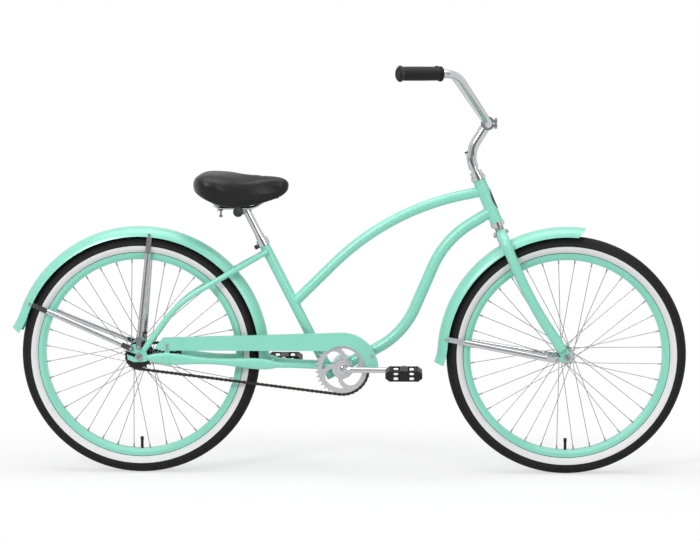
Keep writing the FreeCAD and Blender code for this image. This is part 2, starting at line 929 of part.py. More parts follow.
def ring_window(start):
    # A swirled opening with one smooth edge and one notched edge.
    def swirl(share, extra):
        radius = window_inner + share * (window_outer - window_inner)
        return bottom_bracket + polar(radius, start + share * window_twist + extra)
    middle_radius = window_inner + window_bow_share * (window_outer - window_inner)
    bow = bottom_bracket + polar(middle_radius, start + window_twist / 2)
    smooth = Part.Arc(swirl(0, 0), bow, swirl(1, 0)).toShape()
    notched = [swirl(1, window_width)]
    for notch in range(window_notches, 0, -1):
        share = (notch - 1) / window_notches
        notched.append(swirl(share, window_width + window_notch))
        notched.append(swirl(share, window_width))
    outer_middle = bottom_bracket + polar(window_outer, start + window_twist + window_width / 2)
    inner_middle = bottom_bracket + polar(window_inner, start + window_width / 2)
    edges = [smooth, Part.Arc(swirl(1, 0), outer_middle, notched[0]).toShape()]
    for first, last in zip(notched, notched[1:]):
        edges.append(Part.LineSegment(first, last).toShape())
    edges.append(Part.Arc(notched[-1], inner_middle, swirl(0, 0)).toShape())
    face = Part.Face(Part.Wire(edges))
    face.translate(Vector(0, -chainline - sprocket_plate, 0))
    return face.extrude(Vector(0, 2 * sprocket_plate, 0))


def build_sprockets():
    ring_gap = chain_point(math.ceil(run_links))
    sprocket_gap = chain_point(chain_links - 1)
    ring = toothed_wheel(bottom_bracket, chainring_teeth, ring_gap)
    inner = -chainline - sprocket_plate
    outer = -chainline + sprocket_plate
    cuts = [ring_window(360 * window / window_count) for window in range(window_count)]
    cuts.append(cross_rod(spindle_radius + press_gap, bottom_bracket, inner, outer))
    pin = bottom_bracket + Vector(drive_pin_place, 0, 0)
    cuts.append(cross_rod(drive_pin_radius + press_gap, pin, inner, outer))
    nodes["chainring"] = [ring.cut(Part.makeCompound(cuts))]
    sprocket = toothed_wheel(rear_axle, sprocket_teeth, sprocket_gap)
    bore = driver_radius + press_gap
    sprocket = sprocket.cut(cross_rod(bore, rear_axle, inner, outer))
    driver = cross_sleeve(driver_radius, driver_bore, rear_axle, -driver_outer + touch_gap, -driver_inner)
    ring_start = -chainline - sprocket_plate / 2
    clip = cross_sleeve(driver_radius + snap_ring_width, bore, rear_axle, ring_start, ring_start - snap_ring)
    nodes["rear_sprocket"] = [sprocket, driver, clip]


shell_half = shell_width / 2
cup_start = shell_half - cup_depth
cup_end = shell_half + cup_lip
ring_inner_face = chainline - sprocket_plate / 2
ring_outer_face = chainline + sprocket_plate / 2


def make_cup():
    skirt = shell_bore - press_gap
    hole = cone_radius + running_gap
    outline = [(cup_race, cup_start), (skirt, cup_start), (skirt, shell_half), (cup_lip_radius, shell_half),
               (cup_lip_radius, cup_end), (hole, cup_end), (hole, shell_half), (cup_race, shell_half)]
    return lathe(outline, bottom_bracket, sideways)


def make_cone():
    bore = spindle_radius + press_gap
    outline = [(bore, cup_start), (cone_race, cup_start), (cone_race, shell_half - touch_gap),
               (cone_radius, shell_half - touch_gap), (cone_radius, ring_inner_face - press_gap),
               (bore, ring_inner_face - press_gap)]
    return lathe(outline, bottom_bracket, sideways)


def build_bottom_bracket():
    nodes["bottom_bracket_cups"] = both_sides(make_cup())
    ball_circle = (cup_race + cone_race) / 2
    ball_place = (cup_start + shell_half) / 2
    balls = []
    for side in (-1, 1):
        centre = beside(bottom_bracket, side * ball_place)
        balls += ball_ring(bearing_ball, ball_circle, bearing_ball_count, centre, sideways)
    nodes["bearing_balls"] = balls
    nodes["bottom_bracket_cones"] = both_sides(make_cone())


crank_eye_outer = crank_end + crank_eye / 2


def build_crank():
    corners = []
    for side in (-1, 1):
        root = beside(bottom_bracket, side * crank_root)
        eye = Vector(bottom_bracket.x - side * crank_length, side * crank_end, bottom_bracket.z)
        corners.append((eye, root))
    points = [corners[0][0], corners[0][1], corners[1][1], corners[1][0]]
    crank = pipe(rounded_path(points, [crank_bend_share, crank_bend_share]), crank_radius)
    crank = crank.fuse(cross_rod(spindle_radius, bottom_bracket, -ring_outer_face, ring_outer_face))
    shoulder_end = ring_outer_face + crank_shoulder
    crank = crank.fuse(cross_rod(crank_shoulder_radius, bottom_bracket, -shoulder_end, -ring_outer_face))
    pin = bottom_bracket + Vector(drive_pin_place, 0, 0)
    crank = crank.fuse(cross_rod(drive_pin_radius, pin, -crank_root, -ring_inner_face))
    spindles = []
    for side in (-1, 1):
        eye = bottom_bracket - Vector(side * crank_length, 0, 0)
        inner = side * (crank_end - crank_eye / 2)
        outer = side * crank_eye_outer
        crank = crank.fuse(cross_rod(crank_eye_radius, eye, inner, outer))
        crank = crank.cut(cross_rod(pedal_spindle_radius + press_gap, eye, inner - side * overrun,
                                    outer + side * overrun))
        collar_end = outer + side * pedal_collar
        shaft_end = side * (crank_eye_outer + pedal_gap + pedal_width)
        spindle = cross_rod(pedal_spindle_radius, eye, inner, outer)
        spindle = spindle.fuse(cross_rod(pedal_collar_radius, eye, outer, collar_end))
        spindles.append(spindle.fuse(cross_rod(pedal_shaft_radius, eye, collar_end, shaft_end)))
    nodes["crank"] = [crank]
    nodes["pedal_spindles"] = spindles


def pedal_window(spot, first, last):
    reach = Vector((pedal_window_width - pedal_window_height) / 2, 0, 0)
    window = bar(spot - reach, spot + reach, pedal_window_height, first, last)
    for end in (spot - reach, spot + reach):
        window = window.fuse(cross_rod(pedal_window_height / 2, end, first, last))
    return window


def make_pedal(centre, side):
    first = side * (crank_eye_outer + pedal_gap)
    last = first + side * pedal_width
    half_length = pedal_length / 2
    half_height = pedal_height / 2
    flat = half_length * pedal_flat_share
    edge = half_height * pedal_edge_share
    outline = []
    for ahead, up in ((half_length, -edge), (half_length, edge), (flat, half_height), (-flat, half_height)):
        outline.append(centre + Vector(ahead, 0, up))
    outline += [centre + centre - corner for corner in outline]
    body = plate(outline, first, last)
    cell = pedal_width - 2 * pedal_wall
    cell_start = pedal_barrel_radius + touch_gap
    cell_end = flat - pedal_wall
    cell_length = cell_end - cell_start
    for ahead in (cell_start, -cell_end):
        corner = centre + Vector(ahead, min(first, last) + pedal_wall, -half_height - overrun)
        body = body.cut(Part.makeBox(cell_length, cell, pedal_height + 2 * overrun, corner))
    for ahead in (pedal_window_ahead, -pedal_window_ahead):
        for up in (pedal_window_up, -pedal_window_up):
            spot = centre + Vector(ahead, 0, up)
            body = body.cut(pedal_window(spot, first - side * overrun, last + side * overrun))
    end = last + side * pedal_barrel_end
    body = body.fuse(cross_rod(pedal_barrel_radius, centre, first, end))
    body = body.cut(cross_rod(pedal_shaft_radius + running_gap, centre, first - side * overrun, end))
    body = body.fuse(cross_rod(pedal_barrel_radius, centre, end, end + side * pedal_cap))
    for count in range(pedal_nub_count):
        place = first + (last - first) * (count + 0.5) / pedal_nub_count
        for ahead in (flat - pedal_wall / 2, pedal_wall / 2 - flat):
            spot = centre + Vector(ahead, place, 0)
            reach = Vector(0, 0, half_height + pedal_nub)
            body = body.fuse(rod(pedal_nub_radius, spot + Vector(0, 0, edge), spot + reach))
            body = body.fuse(rod(pedal_nub_radius, spot - Vector(0, 0, edge), spot - reach))
    return body


def build_pedals():
    nodes["pedal_right"] = [make_pedal(bottom_bracket + Vector(crank_length, 0, 0), -1)]
    nodes["pedal_left"] = [make_pedal(bottom_bracket - Vector(crank_length, 0, 0), 1)]


# Frame
head_rod = rod(head_tube_radius, on_steer(head_low), on_steer(head_high))
shell_rod = cross_rod(shell_radius, bottom_bracket, -shell_half, shell_half)
seat_rod = rod(seat_tube_radius, on_seat(-seat_tube_foot), seat_top)


def down_tube_path():
    head_joint = on_steer(head_low + down_tube_join)
    upper = between(bottom_bracket, head_joint, down_tube_upper_shares)
    lower = between(bottom_bracket, head_joint, down_tube_lower_shares)
    return rounded_path([head_joint, upper, lower, bottom_bracket], down_tube_bend_shares)


def build_main_tubes():
    nodes["head_tube"] = [sleeve(head_tube_radius, head_tube_bore, on_steer(head_low), on_steer(head_high))]
    nodes["bottom_bracket_shell"] = [cross_sleeve(shell_radius, shell_bore, bottom_bracket,
                                                  -shell_half, shell_half)]
    bore = seatpost_radius + running_gap
    seat_tube = sleeve(seat_tube_radius, bore, on_seat(-seat_tube_foot), seat_top).cut(shell_rod)
    slit = block(seat_tube_radius + overrun, seat_tube_slit, seat_tube_slit_depth + overrun,
                 -seat_tube_radius - overrun, -seat_tube_slit_depth)
    nodes["seat_tube"] = [seat_tube.cut(leaned(slit, seat_top, seat_up))]
    head_joint = on_steer(head_low + top_tube_join)
    seat_joint = on_seat(top_tube_foot)
    corner = between(seat_joint, head_joint, top_tube_corner_shares)
    path = rounded_path([seat_joint, corner, head_joint], [top_tube_bend_share])
    top_tube = hollow_pipe(path, top_tube_radius, tube_wall)
    nodes["top_tube"] = [top_tube.cut(head_rod).cut(seat_rod)]
    down_tube = hollow_pipe(down_tube_path(), down_tube_radius, tube_wall)
    nodes["down_tube"] = [down_tube.cut(head_rod).cut(shell_rod)]
    facing = sleeve(head_tube_radius + badge_sheet, head_tube_radius,
                    on_steer(head_low), on_steer(head_high))
    badge = Part.makeCylinder(badge_width / 2, 2 * head_tube_radius, Vector(), Vector(1, 0, 0))
    stretch = FreeCAD.Matrix()
    stretch.scale(1, 1, badge_height / badge_width)
    badge = badge.transformGeometry(stretch)
    nodes["head_badge"] = [facing.common(leaned(badge, on_steer((head_low + head_high) / 2), steer_up))]


def make_dropout():
    outline = [near_rear_axle(shares) for shares in dropout_outline_shares]
    shape = plate(outline, rear_half, rear_dropout_outer)
    slot_radius = axle_radius + press_gap
    slot_end = rear_axle + polar(dropout_length, 180 - dropout_slot_rise)
    slot = bar(rear_axle, slot_end, 2 * slot_radius, rear_half - overrun, rear_dropout_outer + overrun)
    slot = slot.fuse(cross_rod(slot_radius, rear_axle, rear_half - overrun, rear_dropout_outer + overrun))
    shape = shape.cut(slot)
    for shares in eyelet_shares:
        shape = shape.cut(cross_rod(eyelet_radius, near_rear_axle(shares), rear_half - overrun,
                                    rear_dropout_outer + overrun))
    return shape


chainstay_start = near_rear_axle(chainstay_foot_shares)
chainstay_heading = (bottom_bracket - chainstay_start).normalize()
chainstay_length = (fender_crest + chainstay_nose_gap - chainstay_start.x) / chainstay_heading.x


def chainstay_point(share):
    point = chainstay_start + chainstay_heading * (share * chainstay_length)
    return beside(point, dropout_centre + share * (chainstay_nose_place - dropout_centre))


def oval(centre, half_height, half_width):
    points = []
    for turn in range(0, 360, 30):
        round_point = polar(1, turn)
        points.append(centre + Vector(0, half_width * round_point.x, half_height * round_point.z))
    curve = Part.BSplineCurve()
    curve.interpolate(points, PeriodicFlag=True)
    return Part.Wire(curve.toShape())


def chainstay_loft(growth, last_share):
    ovals = []
    for share, tall, wide in zip(chainstay_station_shares, chainstay_height_shares, chainstay_width_shares):
        ovals.append(oval(chainstay_point(share * last_share), tall * chainstay_height / 2 + growth,
                          wide * chainstay_width / 2 + growth))
    return Part.makeLoft(ovals, True)


def make_chainstay(dropout_plate):
    skin = chainstay_loft(0, 1)
    hollow = chainstay_loft(-chainstay_wall, 1 - chainstay_wall / chainstay_length)
    rear = skin.cut(hollow).cut(dropout_plate)
    nose = chainstay_point(1)
    reach = bottom_bracket.x - nose.x
    start = nose - Vector(chainstay_overlap, 0, 0)
    turn_point = nose + chainstay_heading * (reach * (1 - chainstay_turn_share))
    points = [start, beside(turn_point, chainstay_front_place), beside(bottom_bracket, chainstay_front_place)]
    path = rounded_path(points, [chainstay_turn_share])
    front = hollow_pipe(path, chainstay_front_radius, tube_wall).cut(skin).cut(shell_rod)
    return skin, rear, front


def make_seatstay(dropout_plate):
    foot = near_rear_axle(seatstay_foot_shares)
    top = on_seat(seat_tube_length - seatstay_join)
    corner = between(foot, top, seatstay_corner_shares)
    turn = between(corner, top, (seatstay_turn_share, seatstay_turn_share))
    points = [beside(foot, dropout_centre), beside(corner, seatstay_corner_place),
              beside(turn, seatstay_turn_place), beside(top, seatstay_top_place)]
    path = rounded_path(points, seatstay_bend_shares)
    skin = pipe(path, seatstay_radius)
    stay = skin.cut(pipe(path, seatstay_radius - tube_wall)).cut(seat_rod).cut(dropout_plate)
    return skin, stay, corner, top


def build_rear_triangle():
    left_plate = make_dropout()
    skin, rear, front = make_chainstay(left_plate)
    stay_skin, stay, corner, top = make_seatstay(left_plate)
    nodes["rear_dropouts"] = both_sides(left_plate)
    nodes["chainstays"] = both_sides(rear) + both_sides(front)
    nodes["seatstays"] = both_sides(stay)
    low_bridge = rear_axle + polar(fender_crest + touch_gap + bridge_radius, low_bridge_turn())
    high_bridge = rear_axle + polar(fender_crest + touch_gap + bridge_radius, high_bridge_turn(corner, top))
    bridges = []
    for centre, skins in ((low_bridge, both_sides(skin)), (high_bridge, both_sides(stay_skin))):
        bridge = cross_rod(bridge_radius, centre, -dropout_centre, dropout_centre)
        for outside in skins:
            bridge = bridge.cut(outside)
        bridge = min(bridge.Solids, key=lambda solid: abs(solid.CenterOfMass.y))
        bridges.append(bridge.cut(bridge_bolt_hole(centre)))
    nodes["stay_bridges"] = bridges
    return low_bridge, high_bridge


def low_bridge_turn():
    # Where the chainstays' centre line passes the circle of the bridge about the axle.
    reach = fender_crest + touch_gap + bridge_radius
    slope = chainstay_heading.z / chainstay_heading.x
    drop = chainstay_start.z - rear_axle.z + (reach - chainstay_start.x) * slope
    return math.degrees(math.asin(drop / reach))


def high_bridge_turn(corner, top):
    # Where the seatstays' upper run passes the circle of the bridge about the axle.
    reach = fender_crest + touch_gap + bridge_radius
    low = 0.0
    high = 1.0
    while (high - low) * (top - corner).Length > press_gap:
        middle = (low + high) / 2
        if (corner + (top - corner) * middle - rear_axle).Length < reach:
            low = middle
        else:
            high = middle
    spot = corner + (top - corner) * low - rear_axle
    return math.degrees(math.atan2(spot.z, spot.x))


def bridge_bolt_hole(centre):
    outward = (centre - rear_axle).normalize()
    reach = bridge_radius + fender_sheet + touch_gap + overrun
    return rod(bridge_bolt_radius + press_gap, centre - outward * reach, centre + outward * reach)


def bridge_bolt(centre):
    outward = (centre - rear_axle).normalize()
    inner = centre - outward * (bridge_radius + 2 * touch_gap + fender_sheet)
    outer = centre + outward * bridge_radius
    bolt = rod(bridge_bolt_radius, inner, outer)
    bolt = bolt.fuse(rod(bridge_bolt_head, inner - outward * screw_head, inner))
    return bolt.fuse(rod(bridge_bolt_head, outer, outer + outward * screw_head))


# Fenders and their stays
fender_half = fender_width / 2
fender_edge = fender_crest - fender_depth
fender_arch = (fender_half ** 2 + fender_depth ** 2) / (2 * fender_depth)


def arch_arc(radius):
    middle = fender_crest - fender_arch
    turn = math.asin(fender_half / fender_arch)
    edge_x = middle + radius * math.cos(turn)
    edge_y = radius * math.sin(turn)
    ends = (Vector(edge_x, -edge_y, 0), Vector(edge_x, edge_y, 0))
    return Part.Arc(ends[0], Vector(middle + radius, 0, 0), ends[1]).toShape(), ends


def make_fender(start, end):
    outer, outer_ends = arch_arc(fender_arch)
    inner, inner_ends = arch_arc(fender_arch - fender_sheet)
    sides = [Part.LineSegment(first, last).toShape() for first, last in zip(outer_ends, inner_ends)]
    face = Part.Face(Part.Wire(Part.__sortEdges__([outer, inner] + sides)))
    body = turned(face, Vector(), start).revolve(Vector(), Vector(0, -1, 0), end - start)
    flare_centre = polar(fender_crest + fender_flare_radius, end)
    tail = turned(face, Vector(), end).revolve(flare_centre, sideways, fender_flare_turn)
    return body.fuse(tail)


def oval_bar(half_width, half_depth, start, end):
    edge = Part.Ellipse(start, half_width, half_depth).toShape()
    return Part.Face(Part.Wire([edge])).extrude(end - start)


def make_stay(eyelet, eyelet_side, centre, angle):
    # An oval tube with a flat tab at each end, on the right-hand side of the wheel.
    fender_end = beside(centre + polar(fender_edge + stay_reach, angle), -stay_place)
    foot = beside(eyelet, -eyelet_side)
    along = fender_end - foot
    length = along.Length
    half = stay_tab_width / 2
    tube_start = Vector(0, 0, stay_tab_end - stay_tab_overlap)
    tube_end = Vector(0, 0, length - stay_tab_fender + stay_tab_overlap)
    stay = oval_bar(stay_half_width, stay_half_depth, tube_start, tube_end)
    stay = stay.cut(oval_bar(stay_half_width - stay_wall, stay_half_depth - stay_wall, tube_start, tube_end))
    for start, finish in ((0, stay_tab_end), (length - stay_tab_fender, length)):
        stay = stay.fuse(block(stay_tab_width, stay_tab, finish - start, -half, start))
    for end in (0, length):
        stay = stay.fuse(rod(half, Vector(0, -stay_tab / 2, end), Vector(0, stay_tab / 2, end)))
        hole_start = Vector(0, -stay_tab, end)
        hole_end = Vector(0, stay_tab, end)
        stay = stay.cut(rod(screw_radius + press_gap, hole_start, hole_end))
    along.normalize()
    lateral = (sideways - along * along.y).normalize()
    stay.Placement = FreeCAD.Placement(foot, FreeCAD.Rotation(lateral.cross(along), lateral, along, "ZYX"))
    return stay


def cross_screw(point, inner, outer):
    # A screw along Y on the right-hand side, with a round head outside and a nut inside.
    screw = cross_rod(screw_radius, point, -inner, -outer)
    screw = screw.fuse(cross_rod(screw_head_radius, point, -outer, -outer - screw_head))
    return screw.fuse(cross_rod(screw_head_radius, point, -inner, -inner + screw_head))


tab_clear = stay_tab / 2 + stay_lean


def fender_with_stays(start, end, centre, stays):
    fender = make_fender(start, end)
    fender.translate(centre)
    parts = []
    screws = []
    drills = []
    for eyelet, dropout_inner, dropout_outer, angle in stays:
        tab_side = dropout_outer + tab_clear
        stay = make_stay(eyelet, tab_side, centre, angle)
        spot = centre + polar(fender_edge + stay_reach, angle)
        fender_screw = cross_screw(spot, stay_place - tab_clear, fender_half)
        eyelet_screw = cross_screw(eyelet, dropout_inner, tab_side + tab_clear)
        for screw in (fender_screw, eyelet_screw):
            screws += both_sides(screw)
            stay = stay.cut(screw)
        parts += both_sides(stay)
        hole = cross_rod(screw_radius + press_gap, spot, -fender_half - overrun, fender_half + overrun)
        drills.append(hole)
    return fender.cut(Part.makeCompound(drills)), parts, screws


def build_rear_fender(low_bridge, high_bridge):
    stays = []
    for shares, angle in zip(eyelet_shares, rear_stay_angles):
        stays.append((near_rear_axle(shares), rear_half, rear_dropout_outer, angle))
    fender, parts, screws = fender_with_stays(rear_fender_start, rear_fender_end, rear_axle, stays)
    holes = bridge_bolt_hole(low_bridge).fuse(bridge_bolt_hole(high_bridge))
    nodes["rear_fender"] = [fender.cut(holes)]
    nodes["rear_fender_stays"] = parts
    nodes["frame_screws"] = screws + [bridge_bolt(low_bridge), bridge_bolt(high_bridge)]


# Chainguard
def guard_outline():
    tip = rear_axle + Vector(guard_tip_ahead, 0, guard_tip_rise)
    heel = rear_axle + Vector(guard_heel_ahead, 0, guard_heel_rise)
    low = rear_axle + Vector(guard_low_ahead, 0, guard_low_rise)
    reach = bottom_bracket - heel
    lean = math.asin(guard_outer / reach.Length) + math.atan2(reach.z, reach.x)
    crest_turn = 90 + math.degrees(lean)
    crest = bottom_bracket + polar(guard_outer, crest_turn)
    lower_turn = 180 - math.degrees(math.asin((low.z - bottom_bracket.z) / guard_cutout))
    front_outer = bottom_bracket + polar(guard_outer, guard_front_turn)
    front_inner = bottom_bracket + polar(guard_cutout, guard_front_turn)
    lower = bottom_bracket + polar(guard_cutout, lower_turn)
    middle_turn = (crest_turn + guard_front_turn) / 2
    crest_middle = bottom_bracket + polar(guard_outer, middle_turn)
    cut_middle = bottom_bracket + polar(guard_cutout, (lower_turn + guard_front_turn) / 2)
    rim = [Part.LineSegment(heel, crest).toShape(), Part.Arc(crest, crest_middle, front_outer).toShape()]
    rest = [Part.LineSegment(front_outer, front_inner).toShape(),
            Part.Arc(front_inner, cut_middle, lower).toShape(), Part.LineSegment(lower, low).toShape(),
            Part.LineSegment(low, tip).toShape(), Part.LineSegment(tip, heel).toShape()]
    under = guard_outer - guard_sheet
    under_heel = heel - polar(guard_sheet, crest_turn)
    under_crest = bottom_bracket + polar(under, crest_turn)
    under_front = bottom_bracket + polar(under, guard_front_turn)
    under_middle = bottom_bracket + polar(under, middle_turn)
    back = [Part.LineSegment(front_outer, under_front).toShape(),
            Part.Arc(under_front, under_middle, under_crest).toShape(),
            Part.LineSegment(under_crest, under_heel).toShape(), Part.LineSegment(under_heel, heel).toShape()]
    return Part.Face(Part.Wire(rim + rest)), Part.Face(Part.Wire(rim + back))


def build_chainguard():
    side, lip = guard_outline()
    side.translate(Vector(0, -guard_place - guard_sheet, 0))
    lip.translate(Vector(0, -guard_place, 0))
    guard = side.extrude(Vector(0, guard_sheet, 0)).fuse(lip.extrude(Vector(0, guard_flange, 0)))
    clip_point = rear_axle + Vector(guard_clip_ahead, 0, 0)
    tab_top = clip_point + Vector(0, 0, guard_low_rise + 2 * guard_screw_spacing)
    window = Part.makeBox(guard_clip, 2 * rear_spacing, 2 * tyre_radius,
                          Vector(clip_point.x - guard_clip / 2, -rear_spacing, 0))
    band = chainstay_loft(touch_gap + guard_clip_sheet, 1)
    tab = bar(clip_point, tab_top, guard_clip, -guard_place, -guard_place + guard_clip_sheet)
    band = mirrored(band).common(window).fuse(tab).cut(mirrored(chainstay_loft(touch_gap, 1)))
    standoff = bottom_bracket + polar(guard_standoff_place, guard_standoff_turn)
    post = cross_rod(guard_standoff_radius, standoff, 0, -guard_place)
    post = post.cut(pipe(down_tube_path(), down_tube_radius))
    spots = [tab_top - Vector(0, 0, guard_screw_spacing * (count + 0.5)) for count in range(2)]
    screws = [cross_screw(spot, guard_place - guard_clip_sheet, guard_place + guard_sheet) for spot in spots]
    stand_screw = cross_rod(screw_radius, standoff, -guard_place + guard_flange, -guard_place - guard_sheet)
    stand_screw = stand_screw.fuse(cross_rod(screw_head_radius, standoff, -guard_place - guard_sheet,
                                             -guard_place - guard_sheet - screw_head))
    screws.append(stand_screw)
    holes = Part.makeCompound([cross_rod(screw_radius + press_gap, spot, -guard_place - overrun,
                                         -guard_place + guard_flange) for spot in spots + [standoff]])
    nodes["chainguard"] = [guard.cut(holes)]
    nodes["chainguard_brackets"] = [band.cut(holes), post.cut(holes)]
    nodes["frame_screws"] += screws


def build_brake_arm():
    inner = rear_hub_left + touch_gap
    outer = inner + brake_arm
    tip = chainstay_point((brake_arm_length - chainstay_start.x) / chainstay_length)
    tip = beside(tip, 0)
    arm = cross_rod(brake_arm_width / 2, rear_axle, inner, outer)
    half = brake_arm_width / 2
    tip_half = brake_arm_tip / 2
    outline = [rear_axle + Vector(0, 0, half), rear_axle - Vector(0, 0, half), tip - Vector(0, 0, tip_half),
               tip + Vector(0, 0, tip_half)]
    arm = arm.fuse(plate(outline, inner, outer)).fuse(cross_rod(tip_half, tip, inner, outer))
    arm = arm.cut(cross_rod(locknut_radius + press_gap, rear_axle, inner - overrun, outer + overrun))
    window = Part.makeBox(brake_clip, 2 * rear_spacing, 2 * tyre_radius,
                          Vector(tip.x - brake_clip / 2, -rear_spacing, 0))
    band = chainstay_loft(touch_gap + guard_clip_sheet, 1).common(window)
    lug = cross_rod(tip_half, tip, outer, dropout_centre)
    band = band.fuse(lug).cut(chainstay_loft(touch_gap, 1))
    bolt = cross_rod(screw_head_radius, tip, inner - screw_head, inner)
    bolt = bolt.fuse(cross_rod(screw_radius, tip, inner, outer + guard_clip_sheet))
    hole = cross_rod(screw_radius + press_gap, tip, inner - overrun, outer + guard_clip_sheet)
    nodes["brake_arm"] = [arm.cut(hole), band.cut(hole)]
    nodes["frame_screws"].append(bolt)


# Fork and headset
def build_fork():
    crown = on_steer(head_low - fork_crown_drop)
    bend = on_steer(fork_bend_height)
    tip_up = (bend - front_axle).normalize()
    leg_end = front_axle + tip_up * fork_leg_end
    shoulder = on_steer(head_low - fork_crown_drop - fork_shoulder_drop)
    points = [crown] + [beside(point, fork_leg_place) for point in (shoulder, bend, leg_end)]
    path = rounded_path(points, (fork_crown_bend_share, fork_bend_share))
    steerer_top = head_high + headset_cup + headset_flange + headset_locknut
    steerer_foot = head_low - fork_crown_drop - fork_leg_radius / 2
    steerer_rod = rod(steerer_radius, on_steer(steerer_foot), on_steer(steerer_top))
    right_half = Part.makeBox(2 * wheelbase, wheelbase, 2 * wheelbase, Vector(0, -wheelbase, 0))
    bolt_hole = rod(crown_bolt_radius + press_gap, on_steer(head_low - fork_crown_drop, 0, -crown_bolt_half),
                    on_steer(head_low - fork_crown_drop, 0, crown_bolt_half))
    tip_end = leg_end + tip_up * fork_tip_overlap
    tip = bar(front_axle, tip_end, fork_tip_width, front_half, front_dropout_outer)
    tip = tip.fuse(cross_rod(fork_tip_width / 2, front_axle, front_half, front_dropout_outer))
    eyelet = front_axle - Vector(fork_eyelet_behind, 0, fork_eyelet_drop)
    ear_outer = front_dropout_outer
    tip = tip.fuse(bar(front_axle, eyelet, stay_tab_width, front_half, ear_outer))
    tip = tip.fuse(cross_rod(stay_tab_width / 2, eyelet, front_half, ear_outer))
    tip = tip.cut(cross_rod(eyelet_radius, eyelet, front_half - overrun, ear_outer + overrun))
    slot_radius = axle_radius + press_gap
    slot = bar(front_axle, front_axle - tip_up * fork_leg_end, 2 * slot_radius, front_half - overrun,
               ear_outer + overrun)
    slot = slot.fuse(cross_rod(slot_radius, front_axle, front_half - overrun, ear_outer + overrun))
    tip = tip.cut(slot)
    leg = hollow_pipe(path, fork_leg_radius, 2 * tube_wall).cut(right_half).cut(steerer_rod)
    leg = leg.cut(bolt_hole).cut(tip)
    steerer = sleeve(steerer_radius, steerer_bore, on_steer(steerer_foot), on_steer(steerer_top))
    nodes["fork_legs"] = both_sides(leg) + both_sides(tip)
    nodes["fork_steerer"] = [steerer.cut(bolt_hole)]
    return eyelet, bolt_hole


def headset_end(face, away):
    # One end of the headset: the pressed cup, the race on the steerer and the ring of balls.
    start = on_steer(face)
    skirt_outer = head_tube_bore - press_gap
    skirt_inner = skirt_outer - headset_skirt_wall
    race_outer = headset_ball_circle - headset_ball - touch_gap / 2
    cavity = headset_ball_circle + headset_ball + touch_gap / 2
    race_bore = steerer_radius + press_gap
    floor = headset_cup / 2 - headset_ball - touch_gap / 2
    cup = lathe([(skirt_inner, -headset_skirt), (skirt_outer, -headset_skirt), (skirt_outer, 0),
                 (headset_cup_radius, 0), (headset_cup_radius, headset_cup), (cavity, headset_cup),
                 (cavity, floor), (skirt_inner, floor)], start, away)
    flange_start = headset_cup + touch_gap
    flange_end = headset_cup + headset_flange
    race = lathe([(race_bore, floor), (race_outer, floor), (race_outer, flange_start),
                  (headset_flange_radius, flange_start), (headset_flange_radius, flange_end),
                  (race_bore, flange_end)], start, away)
    middle = start + away * (headset_cup / 2)
    return cup, race, ball_ring(headset_ball, headset_ball_circle, headset_ball_count, middle, away)


def build_headset():
    low_cup, low_race, low_balls = headset_end(head_low, steer_up * -1)
    high_cup, high_race, high_balls = headset_end(head_high, steer_up)
    nut_start = head_high + headset_cup + headset_flange
    locknut = sleeve(headset_locknut_radius, steerer_radius + press_gap, on_steer(nut_start),
                     on_steer(nut_start + headset_locknut))
    nodes["headset_cups"] = [low_cup, high_cup]
    nodes["bearing_balls"] += low_balls + high_balls
    nodes["headset_races"] = [low_race, high_race, locknut]


def build_front_fender(eyelet, bolt_hole):
    crown_height = head_low - fork_crown_drop
    rear_face = -fork_leg_radius - touch_gap
    bracket_out = -crown_bolt_half + screw_head
    foot = math.sqrt(fender_crest ** 2 - (fork_rake - rear_face) ** 2)
    rise = crown_height - foot + fender_bracket_width / 2
    upright_plate = block(fender_bracket, fender_bracket_width, rise, rear_face - fender_bracket, foot)
    upright_plate = leaned(upright_plate, steer_foot, steer_up)
    crest_rod = cross_rod(fender_crest, front_axle, -fender_width, fender_width)
    bracket = upright_plate.cut(crest_rod).cut(bolt_hole)
    head_from = on_steer(crown_height, 0, rear_face - fender_bracket)
    nose = on_steer(crown_height, 0, fork_leg_radius + touch_gap)
    bolt = rod(crown_bolt_radius, head_from, nose)
    head_to = on_steer(crown_height, 0, bracket_out - 2 * screw_head)
    bolt = bolt.fuse(rod(2 * crown_bolt_radius, head_to, head_from))
    bolt = bolt.fuse(rod(2 * crown_bolt_radius, nose, on_steer(crown_height, 0, crown_bolt_half)))
    stays = [(eyelet, front_half, front_dropout_outer, front_stay_angle)]
    fender, parts, screws = fender_with_stays(front_fender_start, front_fender_end, front_axle, stays)
    corners = ((fender_edge - overrun, front_fender_start + front_fender_slant),
               (fender_crest + overrun, front_fender_start),
               (fender_crest + overrun, front_fender_start - front_fender_slant),
               (fender_edge - overrun, front_fender_start - front_fender_slant))
    outline = [front_axle + polar(radius, angle) for radius, angle in corners]
    fender = fender.cut(plate(outline, -fender_half - overrun, fender_half + overrun))
    nodes["front_fender"] = [fender]
    nodes["front_fender_stays"] = parts
    nodes["front_fender_bolts"] = screws + [bolt, bracket]


# Stem, handlebar and grips
stem_corner = on_steer(head_high + stem_height)
bar_centre = stem_corner + polar(stem_extension, stem_angle)


